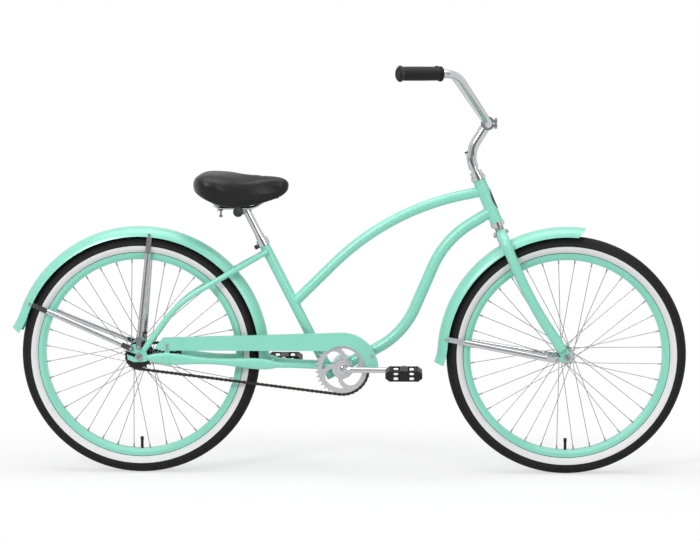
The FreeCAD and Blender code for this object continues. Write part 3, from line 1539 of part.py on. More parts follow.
def build_stem():
    foot = on_steer(head_high - stem_depth)
    path = rounded_path([foot, stem_corner, bar_centre], [stem_bend_share])
    clamp_half = stem_clamp_width / 2
    neck_start = on_steer(head_high + stem_neck_start)
    neck_path = rounded_path([neck_start, stem_corner, bar_centre], [stem_neck_bend_share])
    stem = pipe(path, stem_radius).fuse(pipe(neck_path, stem_neck_radius))
    stem = stem.fuse(cross_rod(stem_clamp_radius, bar_centre, -clamp_half, clamp_half))
    ear = block(stem_clamp_radius + stem_clamp_ear, stem_ear_width, stem_ear_height, 0, -stem_ear_height / 2)
    ear.translate(bar_centre)
    stem = stem.fuse(ear)
    slot = block(stem_clamp_radius + stem_clamp_ear + overrun, 2 * stem_clamp_width, stem_clamp_slot,
                 0, -stem_clamp_slot / 2)
    slot.translate(bar_centre)
    ear_bolt = bar_centre + Vector(stem_clamp_radius + stem_clamp_ear / 2, 0, 0)
    reach = Vector(0, 0, stem_ear_height / 2)
    cap = Vector(0, 0, stem_bolt_head)
    bolt = rod(stem_bolt_radius, ear_bolt - reach, ear_bolt + reach)
    bolt_hole = rod(stem_bolt_radius + press_gap, ear_bolt - reach, ear_bolt + reach)
    bolt = bolt.fuse(rod(stem_bolt_head, ear_bolt - reach - cap, ear_bolt - reach))
    bolt = bolt.fuse(rod(stem_bolt_head, ear_bolt + reach, ear_bolt + reach + cap))
    bar_hole = cross_rod(bar_clamp_radius + running_gap, bar_centre, -stem_clamp_width, stem_clamp_width)
    top = stem_corner + steer_up * plug_height
    head_low_face = top - steer_up * (plug_rise + expander_head)
    expander_hole = rod(expander_radius + press_gap, foot - steer_up * wedge_length, top)
    head_hole = rod(plug_radius, head_low_face, top + steer_up * stem_radius)
    stem = stem.cut(Part.makeCompound([slot, bolt_hole])).cut(bar_hole).cut(expander_hole).cut(head_hole)
    slant = Part.makeBox(4 * stem_radius, 4 * stem_radius, 4 * stem_radius,
                         Vector(-2 * stem_radius, -2 * stem_radius, -4 * stem_radius))
    slant.rotate(Vector(), sideways, wedge_slant)
    slant = leaned(Part.makeCompound([slant]), on_steer(head_high - stem_depth + stem_radius), steer_up)
    wedge_end = foot - steer_up * wedge_length
    wedge = rod(stem_radius, wedge_end, foot + steer_up * (2 * stem_radius)).common(slant)
    wedge = wedge.cut(expander_hole)
    expander = rod(expander_radius, wedge_end, head_low_face)
    plug_face = head_low_face + steer_up * expander_head
    expander = expander.fuse(rod(expander_head_radius, head_low_face, plug_face))
    plug = rod(plug_radius - press_gap, plug_face, top)
    nodes["stem"] = [stem.cut(slant)]
    nodes["stem_bolts"] = [expander, wedge, bolt]
    nodes["stem_plug"] = [plug]


def bar_side(side):
    end = bar_centre + Vector(-bar_reach_back, side * bar_end_place, bar_rise)
    upper = bar_centre + Vector(-bar_setback, side * bar_upper_place, bar_rise)
    lower = bar_centre + Vector(0, side * bar_corner_place, 0)
    return end, upper, lower


def make_grip(side):
    end, upper, lower = bar_side(side)
    along = (upper - end).normalize()
    bore = bar_radius + press_gap
    outline = [(0, -grip_end_wall), (grip_radius, -grip_end_wall), (grip_flange_radius, 0),
               (grip_flange_radius, grip_flange), (grip_radius, grip_flange),
               (grip_radius + grip_crown, grip_length / 2), (grip_radius, grip_length - grip_flange),
               (grip_flange_radius, grip_length - grip_flange), (grip_flange_radius, grip_length),
               (bore, grip_length), (bore, 0), (0, 0)]
    return lathe(outline, end, along)


def build_handlebar():
    right = bar_side(-1)
    left = bar_side(1)
    path = rounded_path(list(right) + list(left[::-1]), bar_bend_shares)
    solid_bar = pipe(path, bar_radius)
    taper_end = bar_bulge_half + bar_taper
    bulge = lathe([(0, -taper_end), (bar_radius, -taper_end), (bar_clamp_radius, -bar_bulge_half),
                   (bar_clamp_radius, bar_bulge_half), (bar_radius, taper_end), (0, taper_end)],
                  bar_centre, sideways)
    nodes["handlebar"] = [solid_bar.fuse(bulge).cut(pipe(path, bar_radius - bar_wall))]
    nodes["grip_right"] = [make_grip(-1)]
    nodes["grip_left"] = [make_grip(1)]


# Seatpost and saddle
saddle_pivot = on_seat(seat_tube_length + clamp_rise, 0, clamp_setback)


def build_seatpost():
    foot = on_seat(seat_tube_length - seatpost_depth)
    step = on_seat(seat_tube_length + seatpost_shoulder)
    top = on_seat(seat_tube_length + seatpost_rise)
    post = rod(seatpost_radius, foot, step).fuse(rod(seatpost_top_radius, step, top))
    nodes["seatpost"] = [post.cut(rod(seatpost_top_radius - bar_wall, foot, top))]
    collar_low = on_seat(seat_tube_length - collar_height)
    collar_bore = seat_tube_radius + press_gap
    collar_outer = collar_bore + collar_wall
    ear = block(collar_outer + collar_ear, collar_ear_width, collar_ear_height,
                -collar_outer - collar_ear, 0)
    ear = leaned(ear, collar_low, seat_up)
    slot = block(collar_outer + collar_ear + overrun, seat_tube_slit, collar_height + 2 * overrun,
                 -collar_outer - collar_ear - overrun, -overrun)
    slot = leaned(slot, collar_low, seat_up)
    collar = rod(collar_outer, collar_low, seat_top).fuse(ear).cut(slot)
    collar = collar.cut(rod(collar_bore, collar_low, seat_top))
    bolt_rise = collar_ear_height / 2 - collar_height
    bolt_spot = on_seat(seat_tube_length + bolt_rise, 0, collar_outer + collar_ear / 2)
    half = collar_ear_width / 2
    head = half + collar_bolt_head
    bolt = cross_rod(collar_bolt_radius, bolt_spot, -half, half)
    bolt = bolt.fuse(cross_rod(collar_bolt_head_radius, bolt_spot, -head, -half))
    bolt = bolt.fuse(cross_rod(collar_bolt_head_radius, bolt_spot, half, head))
    collar = collar.cut(cross_rod(collar_bolt_radius + press_gap, bolt_spot, -half, half))
    nodes["seat_collar"] = [collar, bolt]


def rail_points(side):
    hollow_top = saddle_pivot.z + saddle_hollow_rise - saddle_pan

    def spot(ahead, place, height):
        return Vector(saddle_pivot.x + ahead, side * place, height)
    level = saddle_pivot.z + rail_rise
    return [spot(rail_front_ahead, rail_front_place, hollow_top), spot(rail_ahead, rail_place, level),
            spot(-rail_behind, rail_place, level), spot(-rail_rear_behind, rail_rear_place, hollow_top)]


def build_saddle_clamp():
    low = on_seat(seat_tube_length + clamp_rise - clamp_sleeve / 2)
    high = on_seat(seat_tube_length + clamp_rise + clamp_sleeve / 2)
    post_bore = seatpost_top_radius + press_gap
    body = rod(post_bore + clamp_sleeve_wall, low, high)
    body = body.fuse(cross_rod(clamp_disc_radius, saddle_pivot, -clamp_half, clamp_half))
    body = body.cut(rod(post_bore, low - seat_up * clamp_setback, high + seat_up * clamp_setback))
    disc_start = clamp_half + touch_gap
    inner_end = rail_place - clamp_disc_gap / 2
    outer_start = rail_place + clamp_disc_gap / 2
    outer_end = outer_start + clamp_disc_outer
    nut_end = outer_end + clamp_nut
    bolt = cross_rod(clamp_bolt_radius, saddle_pivot, -outer_end - touch_gap, outer_end + touch_gap)
    for side in (-1, 1):
        nut_start = side * (outer_end + touch_gap)
        bolt = bolt.fuse(cross_rod(clamp_nut_radius, saddle_pivot, nut_start, side * nut_end))
    hole = cross_rod(clamp_bolt_radius + running_gap, saddle_pivot, -nut_end, nut_end)
    discs = []
    for first, last in ((disc_start, inner_end), (outer_start, outer_end)):
        disc = cross_rod(clamp_disc_radius, saddle_pivot, first, last)
        groove_start = saddle_pivot + Vector(-rail_behind, rail_place, rail_rise)
        groove_end = saddle_pivot + Vector(rail_ahead, rail_place, rail_rise)
        groove = rod(rail_radius + press_gap, groove_start, groove_end)
        discs += both_sides(disc.cut(groove).cut(hole))
    nodes["saddle_clamp"] = [body.cut(hole), bolt]
    nodes["saddle_clamp_discs"] = discs


def saddle_station(index):
    x = saddle_pivot.x - saddle_behind_clamp + saddle_station_shares[index] * saddle_length
    base = saddle_pivot.z + saddle_bottom_rise
    top = base + saddle_top_shares[index] * saddle_depth
    bottom = base + saddle_bottom_shares[index] * saddle_depth
    half = saddle_width_shares[index] * saddle_width / 2
    return x, top, bottom, half


def saddle_section(index):
    x, top, bottom, half = saddle_station(index)
    height = top - bottom
    shoulder = top - saddle_crown_share * height
    middle = bottom + saddle_side_share * height
    hem = half * saddle_hem_share
    brow = half * saddle_shoulder_share
    left_hem = Vector(x, hem, bottom)
    right_hem = Vector(x, -hem, bottom)
    left_brow = Vector(x, brow, shoulder)
    right_brow = Vector(x, -brow, shoulder)
    edges = [Part.LineSegment(right_hem, left_hem).toShape(),
             Part.Arc(left_hem, Vector(x, half, middle), left_brow).toShape(),
             Part.Arc(left_brow, Vector(x, 0, top), right_brow).toShape(),
             Part.Arc(right_brow, Vector(x, -half, middle), right_hem).toShape()]
    return Part.Wire(edges)


def saddle_hollow(growth, low, high):
    left = []
    for index in range(2, len(saddle_station_shares) - 2):
        x, top, bottom, half = saddle_station(index)
        left.append(Vector(x, half * saddle_hem_share - saddle_skirt + growth, low))
    right = [Vector(point.x, -point.y, point.z) for point in reversed(left)]
    outline = left + right
    return Part.Face(Part.makePolygon(outline + outline[:1])).extrude(Vector(0, 0, high - low))


def build_saddle():
    cushion = Part.makeLoft([saddle_section(index) for index in range(len(saddle_station_shares))], True)
    roof = saddle_pivot.z + saddle_hollow_rise
    floor = saddle_pivot.z - saddle_depth
    nodes["saddle"] = [cushion.cut(saddle_hollow(0, floor, roof))]
    pan = saddle_hollow(-touch_gap, roof - saddle_pan, roof)
    bend_shares = (rail_bend_share, rail_bend_share)
    rails = [pipe(rounded_path(rail_points(side), bend_shares), rail_radius).cut(pan) for side in (-1, 1)]
    bridge_spot = saddle_pivot + Vector(-rail_bridge_behind, 0, rail_rise - rail_radius)
    half = rail_place + rail_radius
    bridge = Part.makeBox(rail_bridge_width, 2 * half, rail_bridge,
                          bridge_spot + Vector(-rail_bridge_width / 2, -half, -rail_bridge))
    low = bridge_spot - Vector(0, 0, rail_bolt_drop)
    bolt = rod(rail_bolt_radius, low, bridge_spot - Vector(0, 0, rail_bridge))
    bolt = bolt.fuse(rod(rail_nut_radius, low, low + Vector(0, 0, rail_nut)))
    nodes["saddle_pan"] = [pan]
    nodes["saddle_rails"] = rails + [bridge, bolt]


def build_bicycle():
    build_wheels()
    build_chain()
    build_sprockets()
    build_bottom_bracket()
    build_crank()
    build_pedals()
    build_main_tubes()
    low_bridge, high_bridge = build_rear_triangle()
    build_rear_fender(low_bridge, high_bridge)
    build_chainguard()
    build_brake_arm()
    eyelet, bolt_hole = build_fork()
    build_headset()
    build_front_fender(eyelet, bolt_hole)
    build_stem()
    build_handlebar()
    build_seatpost()
    build_saddle_clamp()
    build_saddle()


def save_nodes():
    rear_end = nodes["rear_fender"][0].optimalBoundingBox(False, False).XMin
    front_end = wheelbase + tyre_radius
    to_middle = Vector(-(rear_end + front_end) / 2, 0, 0)
    os.makedirs("parts", exist_ok=True)
    for name, solids in nodes.items():
        shape = solids[0] if len(solids) == 1 else Part.makeCompound(solids)
        shape.translate(to_middle)
        shape.exportStep("parts/" + name + ".step")
        print(name, len(shape.Solids), "solids, valid", shape.isValid(), "volume", round(shape.Volume))
    print("moved", round(to_middle.x, 3), "nodes", len(nodes))


build_bicycle()
save_nodes()
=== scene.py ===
import json
import math

import bmesh
import bpy
import numpy as np
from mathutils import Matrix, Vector


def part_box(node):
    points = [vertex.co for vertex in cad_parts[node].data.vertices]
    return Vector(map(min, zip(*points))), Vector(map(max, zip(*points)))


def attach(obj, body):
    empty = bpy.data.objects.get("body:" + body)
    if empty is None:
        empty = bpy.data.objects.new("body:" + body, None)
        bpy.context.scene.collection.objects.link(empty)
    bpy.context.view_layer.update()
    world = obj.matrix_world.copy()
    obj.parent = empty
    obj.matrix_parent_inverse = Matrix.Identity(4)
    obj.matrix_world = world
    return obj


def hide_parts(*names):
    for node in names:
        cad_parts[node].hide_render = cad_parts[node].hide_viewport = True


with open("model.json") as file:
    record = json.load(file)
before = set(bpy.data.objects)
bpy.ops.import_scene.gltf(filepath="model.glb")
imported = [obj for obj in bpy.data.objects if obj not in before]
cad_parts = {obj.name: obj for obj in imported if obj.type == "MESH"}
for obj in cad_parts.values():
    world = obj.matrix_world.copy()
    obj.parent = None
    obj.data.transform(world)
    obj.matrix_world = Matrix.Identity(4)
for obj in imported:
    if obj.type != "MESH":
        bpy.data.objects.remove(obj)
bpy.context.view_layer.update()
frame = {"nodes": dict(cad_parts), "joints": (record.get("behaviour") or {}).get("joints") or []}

nodes = frame["nodes"]
joints = {joint["name"]: joint for joint in frame["joints"]}
scene = bpy.context.scene
scene.view_settings.view_transform = "Standard"
print("frame loaded with", len(nodes), "nodes")


# a shader socket that can be written into sums
class Wire:
    def __init__(self, tree, socket=None):
        self.tree = tree
        self.socket = socket

    def node(self, kind, settings=None, sockets=None):
        made = self.tree.nodes.new("ShaderNode" + kind)
        for name, value in (settings or {}).items():
            setattr(made, name, value)
        for name, value in (sockets or {}).items():
            if isinstance(value, Wire):
                self.tree.links.new(value.socket, made.inputs[name])
            else:
                made.inputs[name].default_value = value
        return Wire(self.tree, made.outputs[0] if made.outputs else None)

    def out(self, name):
        return Wire(self.tree, self.socket.node.outputs[name])

    def sum(self, operation, first, second):
        return self.node("Math", {"operation": operation}, {0: first, 1: second})

    def __add__(self, other):
        return self.sum("ADD", self, other)

    def __radd__(self, other):
        return self.sum("ADD", other, self)

    def __mul__(self, other):
        return self.sum("MULTIPLY", self, other)

    def __rmul__(self, other):
        return self.sum("MULTIPLY", other, self)

    def vector(self, operation, second):
        return self.node("VectorMath", {"operation": operation}, {0: self, 1: second})

    def length(self):
        return self.node("VectorMath", {"operation": "LENGTH"}, {0: self}).out("Value")

    def mixed(self, first, second):
        return self.node("Mix", {"data_type": "RGBA"}, {0: self, 6: first, 7: second}).out(2)

    def stretched(self, scale):
        return self.node("Mapping", {}, {"Vector": self, "Scale": scale})

    def noise(self, scale, detail=2.0):
        return self.node("TexNoise", {}, {"Vector": self, "Scale": scale, "Detail": detail})

    def cells(self, scale):
        return self.node("TexVoronoi", {"feature": "DISTANCE_TO_EDGE"}, {"Vector": self, "Scale": scale})

    def bump(self, strength, distance):
        return self.node("Bump", {}, {"Strength": strength, "Distance": distance, "Height": self})


def newFinish(name):
    material = bpy.data.materials.new(name)
    material.use_nodes = True
    material.node_tree.nodes.clear()
    tree = Wire(material.node_tree)
    return material, tree, tree.node("TexCoord").out("Object")


def close(tree, sockets):
    tree.node("OutputMaterial", {}, {"Surface": tree.node("BsdfPrincipled", {}, sockets)})


def shade(red, green, blue):
    return (red, green, blue, 1.0)


def grey(level):
    return shade(level, level, level)


# in each finish: colours, scales of its patterns, roughness and how far it varies, strength and depth of bump
enamel = {
    "light": shade(0.262, 0.690, 0.545),
    "deep": shade(0.215, 0.615, 0.480),
    "drift": 7.0,
    "cloud": 34.0,
    "rough": (0.26, 0.10),
    "peel": 110.0,
    "bump": (0.003, 0.0001),
    "coat": 0.35,
    "coatRough": 0.16,
    "ior": 1.5,
}


def mintEnamel():
    material, tree, place = newFinish("mint_enamel")
    rough, spread = enamel["rough"]
    close(tree, {
        "Base Color": place.noise(enamel["drift"]).mixed(enamel["light"], enamel["deep"]),
        "Roughness": rough + spread * place.noise(enamel["cloud"]),
        "Normal": place.noise(enamel["peel"], 1.0).bump(*enamel["bump"]),
        "Coat Weight": enamel["coat"],
        "Coat Roughness": enamel["coatRough"],
        "IOR": enamel["ior"],
    })
    return material


plating = {
    "bright": shade(0.60, 0.605, 0.61),
    "smoky": shade(0.50, 0.505, 0.515),
    "haze": 45.0,
    "wipe": (3.0, 40.0, 6.0),
    "wipes": 3.0,
    "rough": (0.05, 0.05, 0.04),
}


def chromePlate():
    material, tree, place = newFinish("chrome_plate")
    haze = place.noise(plating["haze"], 4.0)
    wipes = place.stretched(plating["wipe"]).noise(plating["wipes"], 3.0)
    rough, hazeSpread, wipeSpread = plating["rough"]
    close(tree, {
        "Base Color": haze.mixed(plating["bright"], plating["smoky"]),
        "Metallic": 1.0,
        "Roughness": rough + hazeSpread * haze + wipeSpread * wipes,
    })
    return material


zinc = {
    "spoke_steel": {"bright": shade(0.36, 0.36, 0.37), "dark": shade(0.27, 0.27, 0.28), "rough": 0.22},
    "nut_steel": {"bright": shade(0.56, 0.56, 0.57), "dark": shade(0.43, 0.43, 0.44), "rough": 0.16},
    "spangle": 210.0,
    "spread": 0.16,
    "bump": (0.06, 0.0001),
}


def zincPlate(name):
    plate = zinc[name]
    material, tree, place = newFinish(name)
    spangle = place.noise(zinc["spangle"], 5.0)
    close(tree, {
        "Base Color": spangle.mixed(plate["bright"], plate["dark"]),
        "Metallic": 1.0,
        "Roughness": plate["rough"] + zinc["spread"] * spangle,
        "Normal": spangle.bump(*zinc["bump"]),
    })
    return material


polish = {
    "bright": shade(0.66, 0.66, 0.67),
    "dull": shade(0.56, 0.56, 0.57),
    "cloud": 26.0,
    "lines": 5200.0,
    "metal": 0.9,
    "rough": (0.30, 0.14),
    "bump": (0.10, 0.0001),
}


def turnedSteel():
    # fine rings about the bottom bracket, as the polishing wheel leaves them
    material, tree, place = newFinish("turned_steel")
    off = place.vector("SUBTRACT", joints["crank_spin"]["pos_m"])
    far = off.vector("MULTIPLY", (1.0, 0.0, 1.0)).length()
    lines = far.node("TexNoise", {"noise_dimensions": "1D"}, {"W": far * polish["lines"], "Scale": 1.0})
    rough, spread = polish["rough"]
    close(tree, {
        "Base Color": place.noise(polish["cloud"], 3.0).mixed(polish["bright"], polish["dull"]),
        "Metallic": polish["metal"],
        "Roughness": rough + spread * lines,
        "Normal": lines.bump(*polish["bump"]),
    })
    return material


oil = {
    "worn": shade(0.085, 0.072, 0.058),
    "thick": shade(0.018, 0.016, 0.014),
    "grime": 260.0,
    "metal": 0.85,
    "rough": (0.30, 0.28),
    "bump": (0.10, 0.0002),
}


def oiledChain():
    material, tree, place = newFinish("oiled_chain")
    grime = place.noise(oil["grime"], 5.0)
    rough, spread = oil["rough"]
    close(tree, {
        "Base Color": grime.mixed(oil["worn"], oil["thick"]),
        "Metallic": oil["metal"],
        "Roughness": rough + spread * grime,
        "Normal": grime.bump(*oil["bump"]),
    })
    return material


rubber = {"first": shade(0.009, 0.009, 0.010), "second": shade(0.017, 0.017, 0.016), "cloud": (55.0, 4.0),
          "spread": 0.14, "grit": 1600.0, "bump": (0.10, 0.0003), "shine": 0.2}
blacks = {
    "black_enamel": {"first": shade(0.014, 0.014, 0.015), "second": shade(0.008, 0.008, 0.009),
                     "cloud": (120.0, 3.0), "rough": 0.24, "spread": 0.14, "grit": 600.0,
                     "bump": (0.06, 0.0002), "shine": 0.35},
    "tread_rubber": {**rubber, "rough": 0.62},
    "valve_rubber": {**rubber, "rough": 0.5},
}


def blackCoat(name):
    coat = blacks[name]
    material, tree, place = newFinish(name)
    cloud = place.noise(*coat["cloud"])
    close(tree, {
        "Base Color": cloud.mixed(coat["first"], coat["second"]),
        "Roughness": coat["rough"] + coat["spread"] * cloud,
        "Normal": place.noise(coat["grit"]).bump(*coat["bump"]),
        "Specular IOR Level": coat["shine"],
    })
    return material


paleRubber = {"clean": grey(0.76), "scuffed": grey(0.69), "scuff": 38.0, "rough": (0.46, 0.2), "grit": 900.0,
              "bump": (0.08, 0.0002)}


def whiteWall():
    material, tree, place = newFinish("white_wall")
    scuff = place.noise(paleRubber["scuff"], 6.0)
    rough, spread = paleRubber["rough"]
    close(tree, {
        "Base Color": scuff.mixed(paleRubber["clean"], paleRubber["scuffed"]),
        "Roughness": rough + spread * scuff,
        "Normal": place.noise(paleRubber["grit"]).bump(*paleRubber["bump"]),
    })
    return material


moulding = {"first": shade(0.006, 0.006, 0.007), "second": shade(0.011, 0.011, 0.012), "cloud": 60.0,
            "sparkle": 1500.0, "rough": (0.40, 0.16), "bump": (0.14, 0.0003), "shine": 0.3}


def mouldedPlastic():
    material, tree, place = newFinish("moulded_plastic")
    sparkle = place.noise(moulding["sparkle"])
    rough, spread = moulding["rough"]
    close(tree, {
        "Base Color": place.noise(moulding["cloud"]).mixed(moulding["first"], moulding["second"]),
        "Roughness": rough + spread * sparkle,
        "Normal": sparkle.bump(*moulding["bump"]),
        "Specular IOR Level": moulding["shine"],
    })
    return material


hides = {
    "saddle_vinyl": {"dark": grey(0.003), "pale": grey(0.005), "grain": 520.0, "rough": 0.28, "bump": 0.05,
                     "shine": 0.31},
    "grip_hide": {"dark": grey(0.007), "pale": grey(0.013), "grain": 640.0, "rough": 0.44, "bump": 0.20,
                  "shine": 0.20},
    "wear": 16.0,
    "warp": 1 / 3,             # scales of the warp and of the fine grain, as shares of the grain
    "fine": 1.7,
    "heights": (1.4, 0.3),
    "spreads": (0.12, 0.08),
    "depth": 0.0005,
}


def grainedHide(name):
    # pebbled grain over a slow drift of wear
    hide = hides[name]
    material, tree, place = newFinish(name)
    grain = hide["grain"]
    warped = place.vector("ADD", place.noise(grain * hides["warp"]).out("Color"))
    fine = warped.noise(grain * hides["fine"], 3.0)
    wear = place.noise(hides["wear"], 3.0)
    pebbleHeight, fineHeight = hides["heights"]
    wearSpread, fineSpread = hides["spreads"]
    close(tree, {
        "Base Color": wear.mixed(hide["dark"], hide["pale"]),
        "Roughness": hide["rough"] + wearSpread * wear + fineSpread * fine,
        "Normal": (place.cells(grain) * pebbleHeight + fine * fineHeight).bump(hide["bump"], hides["depth"]),
        "Specular IOR Level": hide["shine"],
    })
    return material


sewing = {"first": shade(0.055, 0.053, 0.050), "second": shade(0.11, 0.105, 0.10), "twist": 2600.0,
          "rough": (0.7, 0.2), "bump": (0.3, 0.0003)}


def sewingThread():
    material, tree, place = newFinish("sewing_thread")
    twist = place.noise(sewing["twist"])
    rough, spread = sewing["rough"]
    close(tree, {
        "Base Color": twist.mixed(sewing["first"], sewing["second"]),
        "Roughness": rough + spread * twist,
        "Normal": twist.bump(*sewing["bump"]),
    })
    return material


smoke = {"dark": shade(0.045, 0.047, 0.050), "pale": shade(0.085, 0.088, 0.092), "brush": (900.0, 40.0, 30.0),
         "brushes": 2.0, "rough": (0.24, 0.16), "bump": (0.08, 0.0001)}


def smokedPlate():
    material, tree, place = newFinish("smoked_plate")
    brush = place.stretched(smoke["brush"]).noise(smoke["brushes"], 3.0)
    rough, spread = smoke["rough"]
    close(tree, {
        "Base Color": brush.mixed(smoke["dark"], smoke["pale"]),
        "Metallic": 1.0,
        "Roughness": rough + spread * brush,
        "Normal": brush.bump(*smoke["bump"]),
    })
    return material


treadRubber = blackCoat("tread_rubber")
wallRubber = whiteWall()
saddleVinyl = grainedHide("saddle_vinyl")
gripHide = grainedHide("grip_hide")
thread = sewingThread()

wears = {
    mintEnamel(): ("head_tube", "bottom_bracket_shell", "seat_tube", "top_tube", "down_tube", "rear_dropouts",
                   "chainstays", "seatstays", "stay_bridges", "rear_fender", "front_fender", "chainguard",
                   "chainguard_brackets", "fork_legs", "front_rim", "rear_rim"),
    chromePlate(): ("stem", "stem_bolts", "handlebar", "seatpost", "seat_collar", "saddle_clamp",
                    "saddle_clamp_discs", "saddle_rails", "crank", "rear_fender_stays", "front_fender_stays",
                    "headset_cups", "headset_races", "bottom_bracket_cups", "front_hub"),
    zincPlate("spoke_steel"): ("front_spokes", "rear_spokes", "front_axle", "rear_axle", "fork_steerer",
                               "pedal_spindles", "bearing_balls", "bottom_bracket_cones"),
    zincPlate("nut_steel"): ("frame_screws", "front_fender_bolts", "front_axle_nuts", "rear_axle_nuts"),
    turnedSteel(): ("chainring",),
    oiledChain(): ("chain",),
    blackCoat("black_enamel"): ("rear_sprocket", "rear_hub", "brake_arm"),
    mouldedPlastic(): ("pedal_right", "pedal_left", "stem_plug", "saddle_pan"),
    blackCoat("valve_rubber"): ("front_inner_tube", "rear_inner_tube"),
    smokedPlate(): ("head_badge",),
}
for finish, names in wears.items():
    for name in names:
        for slot in nodes[name].material_slots:
            slot.material = finish
print("finishes on", sum(len(names) for names in wears.values()), "nodes")


def makePiece(name, points, faces, finishes, creaseAngle):
    mesh = bpy.data.meshes.new(name)
    mesh.from_pydata([tuple(point) for point in points], [], faces)
    for finish in finishes:
        mesh.materials.append(finish)
    mesh.shade_smooth()
    mesh.set_sharp_from_angle(angle=math.radians(creaseAngle))
    piece = bpy.data.objects.new(name, mesh)
    scene.collection.objects.link(piece)
    return piece


def settle(piece, body, slot, *replaced):
    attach(piece, body)
    if replaced:
        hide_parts(*replaced)


def ringFaces(rings, count, closed):
    # quads between rings of one count, and from the last ring to the first when closed
    faces = []
    for ring in range(rings if closed else rings - 1):
        following = (ring + 1) % rings
        for place in range(count):
            after = (place + 1) % count
            faces.append((ring * count + place, ring * count + after,
                          following * count + after, following * count + place))
    return faces


tyre = {
    "blocks": 92,              # tread blocks round the wheel
    "rows": 8,                 # and across it
    "groove": 0.0014,
    "treadEdge": 26.0,         # degrees up from the widest place to the outer row
    "shoulders": (0.0, 0.5, 0.96),
    "wallTop": 0.3045,         # radius where the pale sidewall ends
    "wallFoot": 0.0012,        # and how far above the rim it starts
    "wallStep": 0.0003,        # how far it lies under the black
    "wallSteps": 9,
    "wallEdges": (0.02, 0.03), # how far round the black edges lie beyond it
    "casing": 0.0035,
    "rimInset": 0.0022,
    "beadDrop": 0.005,
    "bead": 0.004,
    "innerStep": 30,
    "acrossStops": ((0.0, True), (0.12, True), (0.20, False), (0.92, False)),
    "roundStops": (0.0, 0.07, 0.11, 0.46, 0.5, 0.57, 0.61, 0.96),
    "sipe": 0.071,
    "crease": 32.0,
}


def tyreOutline(radius, half, footRadius, footHalf):
    # one closed section: radius, place across, tread row, groove or not, finish of the next strip
    side = radius - half
    rise = side - footRadius
    inset = half - footHalf
    sweep = (rise ** 2 + inset ** 2) / (2 * inset)
    foot = math.asin((footRadius + tyre["wallFoot"] - side) / sweep)
    head = math.asin((tyre["wallTop"] - side) / sweep)

    def onWall(turn, depth, finish):
        reach = sweep - depth
        return (side + reach * math.sin(turn), half - sweep + reach * math.cos(turn), None, False, finish)

    def onCrown(degrees, reach, row, groove):
        angle = math.radians(degrees)
        return (side + reach * math.sin(angle), reach * math.cos(angle), row, groove, 0)

    lowEdge, highEdge = tyre["wallEdges"]
    bead = footRadius - tyre["beadDrop"]
    left = [(bead, footHalf, None, False, 0), onWall(-math.asin(rise / sweep), 0.0, 0),
            onWall(foot - lowEdge, 0.0, 0)]
    for step in range(tyre["wallSteps"] + 1):
        turn = foot + (head - foot) * step / tyre["wallSteps"]
        left.append(onWall(turn, tyre["wallStep"], 1 if step < tyre["wallSteps"] else 0))
    left.append(onWall(head + highEdge, 0.0, 0))
    left += [onCrown(tyre["treadEdge"] * share, half, None, False) for share in tyre["shoulders"]]
    crown = []
    span = (180 - 2 * tyre["treadEdge"]) / tyre["rows"]
    for row in range(tyre["rows"] + 1):
        stops = tyre["acrossStops"] if row < tyre["rows"] else tyre["acrossStops"][:2]
        crown += [onCrown(tyre["treadEdge"] + (row + share) * span, half, row, groove) for share, groove in stops]
    right = []
    for index in range(len(left) - 1, -1, -1):
        level, place, row, groove, finish = left[index]
        right.append((level, -place, row, groove, left[index - 1][4] if index else 0))
    inner = [onCrown(turn, half - tyre["casing"], None, False) for turn in range(180, -1, -tyre["innerStep"])]
    lip = footHalf - tyre["bead"]
    return left + crown + right + [(bead, -lip, None, False, 0)] + inner + [(bead, lip, None, False, 0)]


def tyreDepth(row, groove, share):
    if row is None:
        return 0.0
    across = (share + 0.5 * (row % 2)) % 1.0    # every other row is shifted by half a block
    return tyre["groove"] if groove or across < tyre["sipe"] else 0.0


def buildTyre(name, wheelJoint, rim, body):
    low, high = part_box(name)
    rimLow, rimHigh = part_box(rim)
    radius = (high.z - low.z) / 2
    half = (high.y - low.y) / 2
    rimHalf = (rimHigh.y - rimLow.y) / 2
    outline = tyreOutline(radius, half, (rimHigh.z - rimLow.z) / 2, rimHalf - tyre["rimInset"])
    points = []
    for block in range(tyre["blocks"]):
        for stop in tyre["roundStops"]:
            angle = 2 * math.pi * (block + stop) / tyre["blocks"]
            for level, place, row, groove, finish in outline:
                depth = tyreDepth(row, groove, stop) / half
                level -= (level - radius + half) * depth
                points.append((level * math.cos(angle), place * (1 - depth), level * math.sin(angle)))
    rings = tyre["blocks"] * len(tyre["roundStops"])
    faces = ringFaces(rings, len(outline), True)
    piece = makePiece(name + "_treaded", points, faces, (treadRubber, wallRubber), tyre["crease"])
    piece.location = joints[wheelJoint]["pos_m"]
    piece.data.polygons.foreach_set("material_index", [point[4] for point in outline] * rings)
    settle(piece, body, "tyre", name)
    print(piece.name, len(points), "points")


buildTyre("front_tyre", "front_wheel_spin", "front_rim", "front_wheel")
buildTyre("rear_tyre", "rear_wheel_spin", "rear_rim", "rear_wheel")


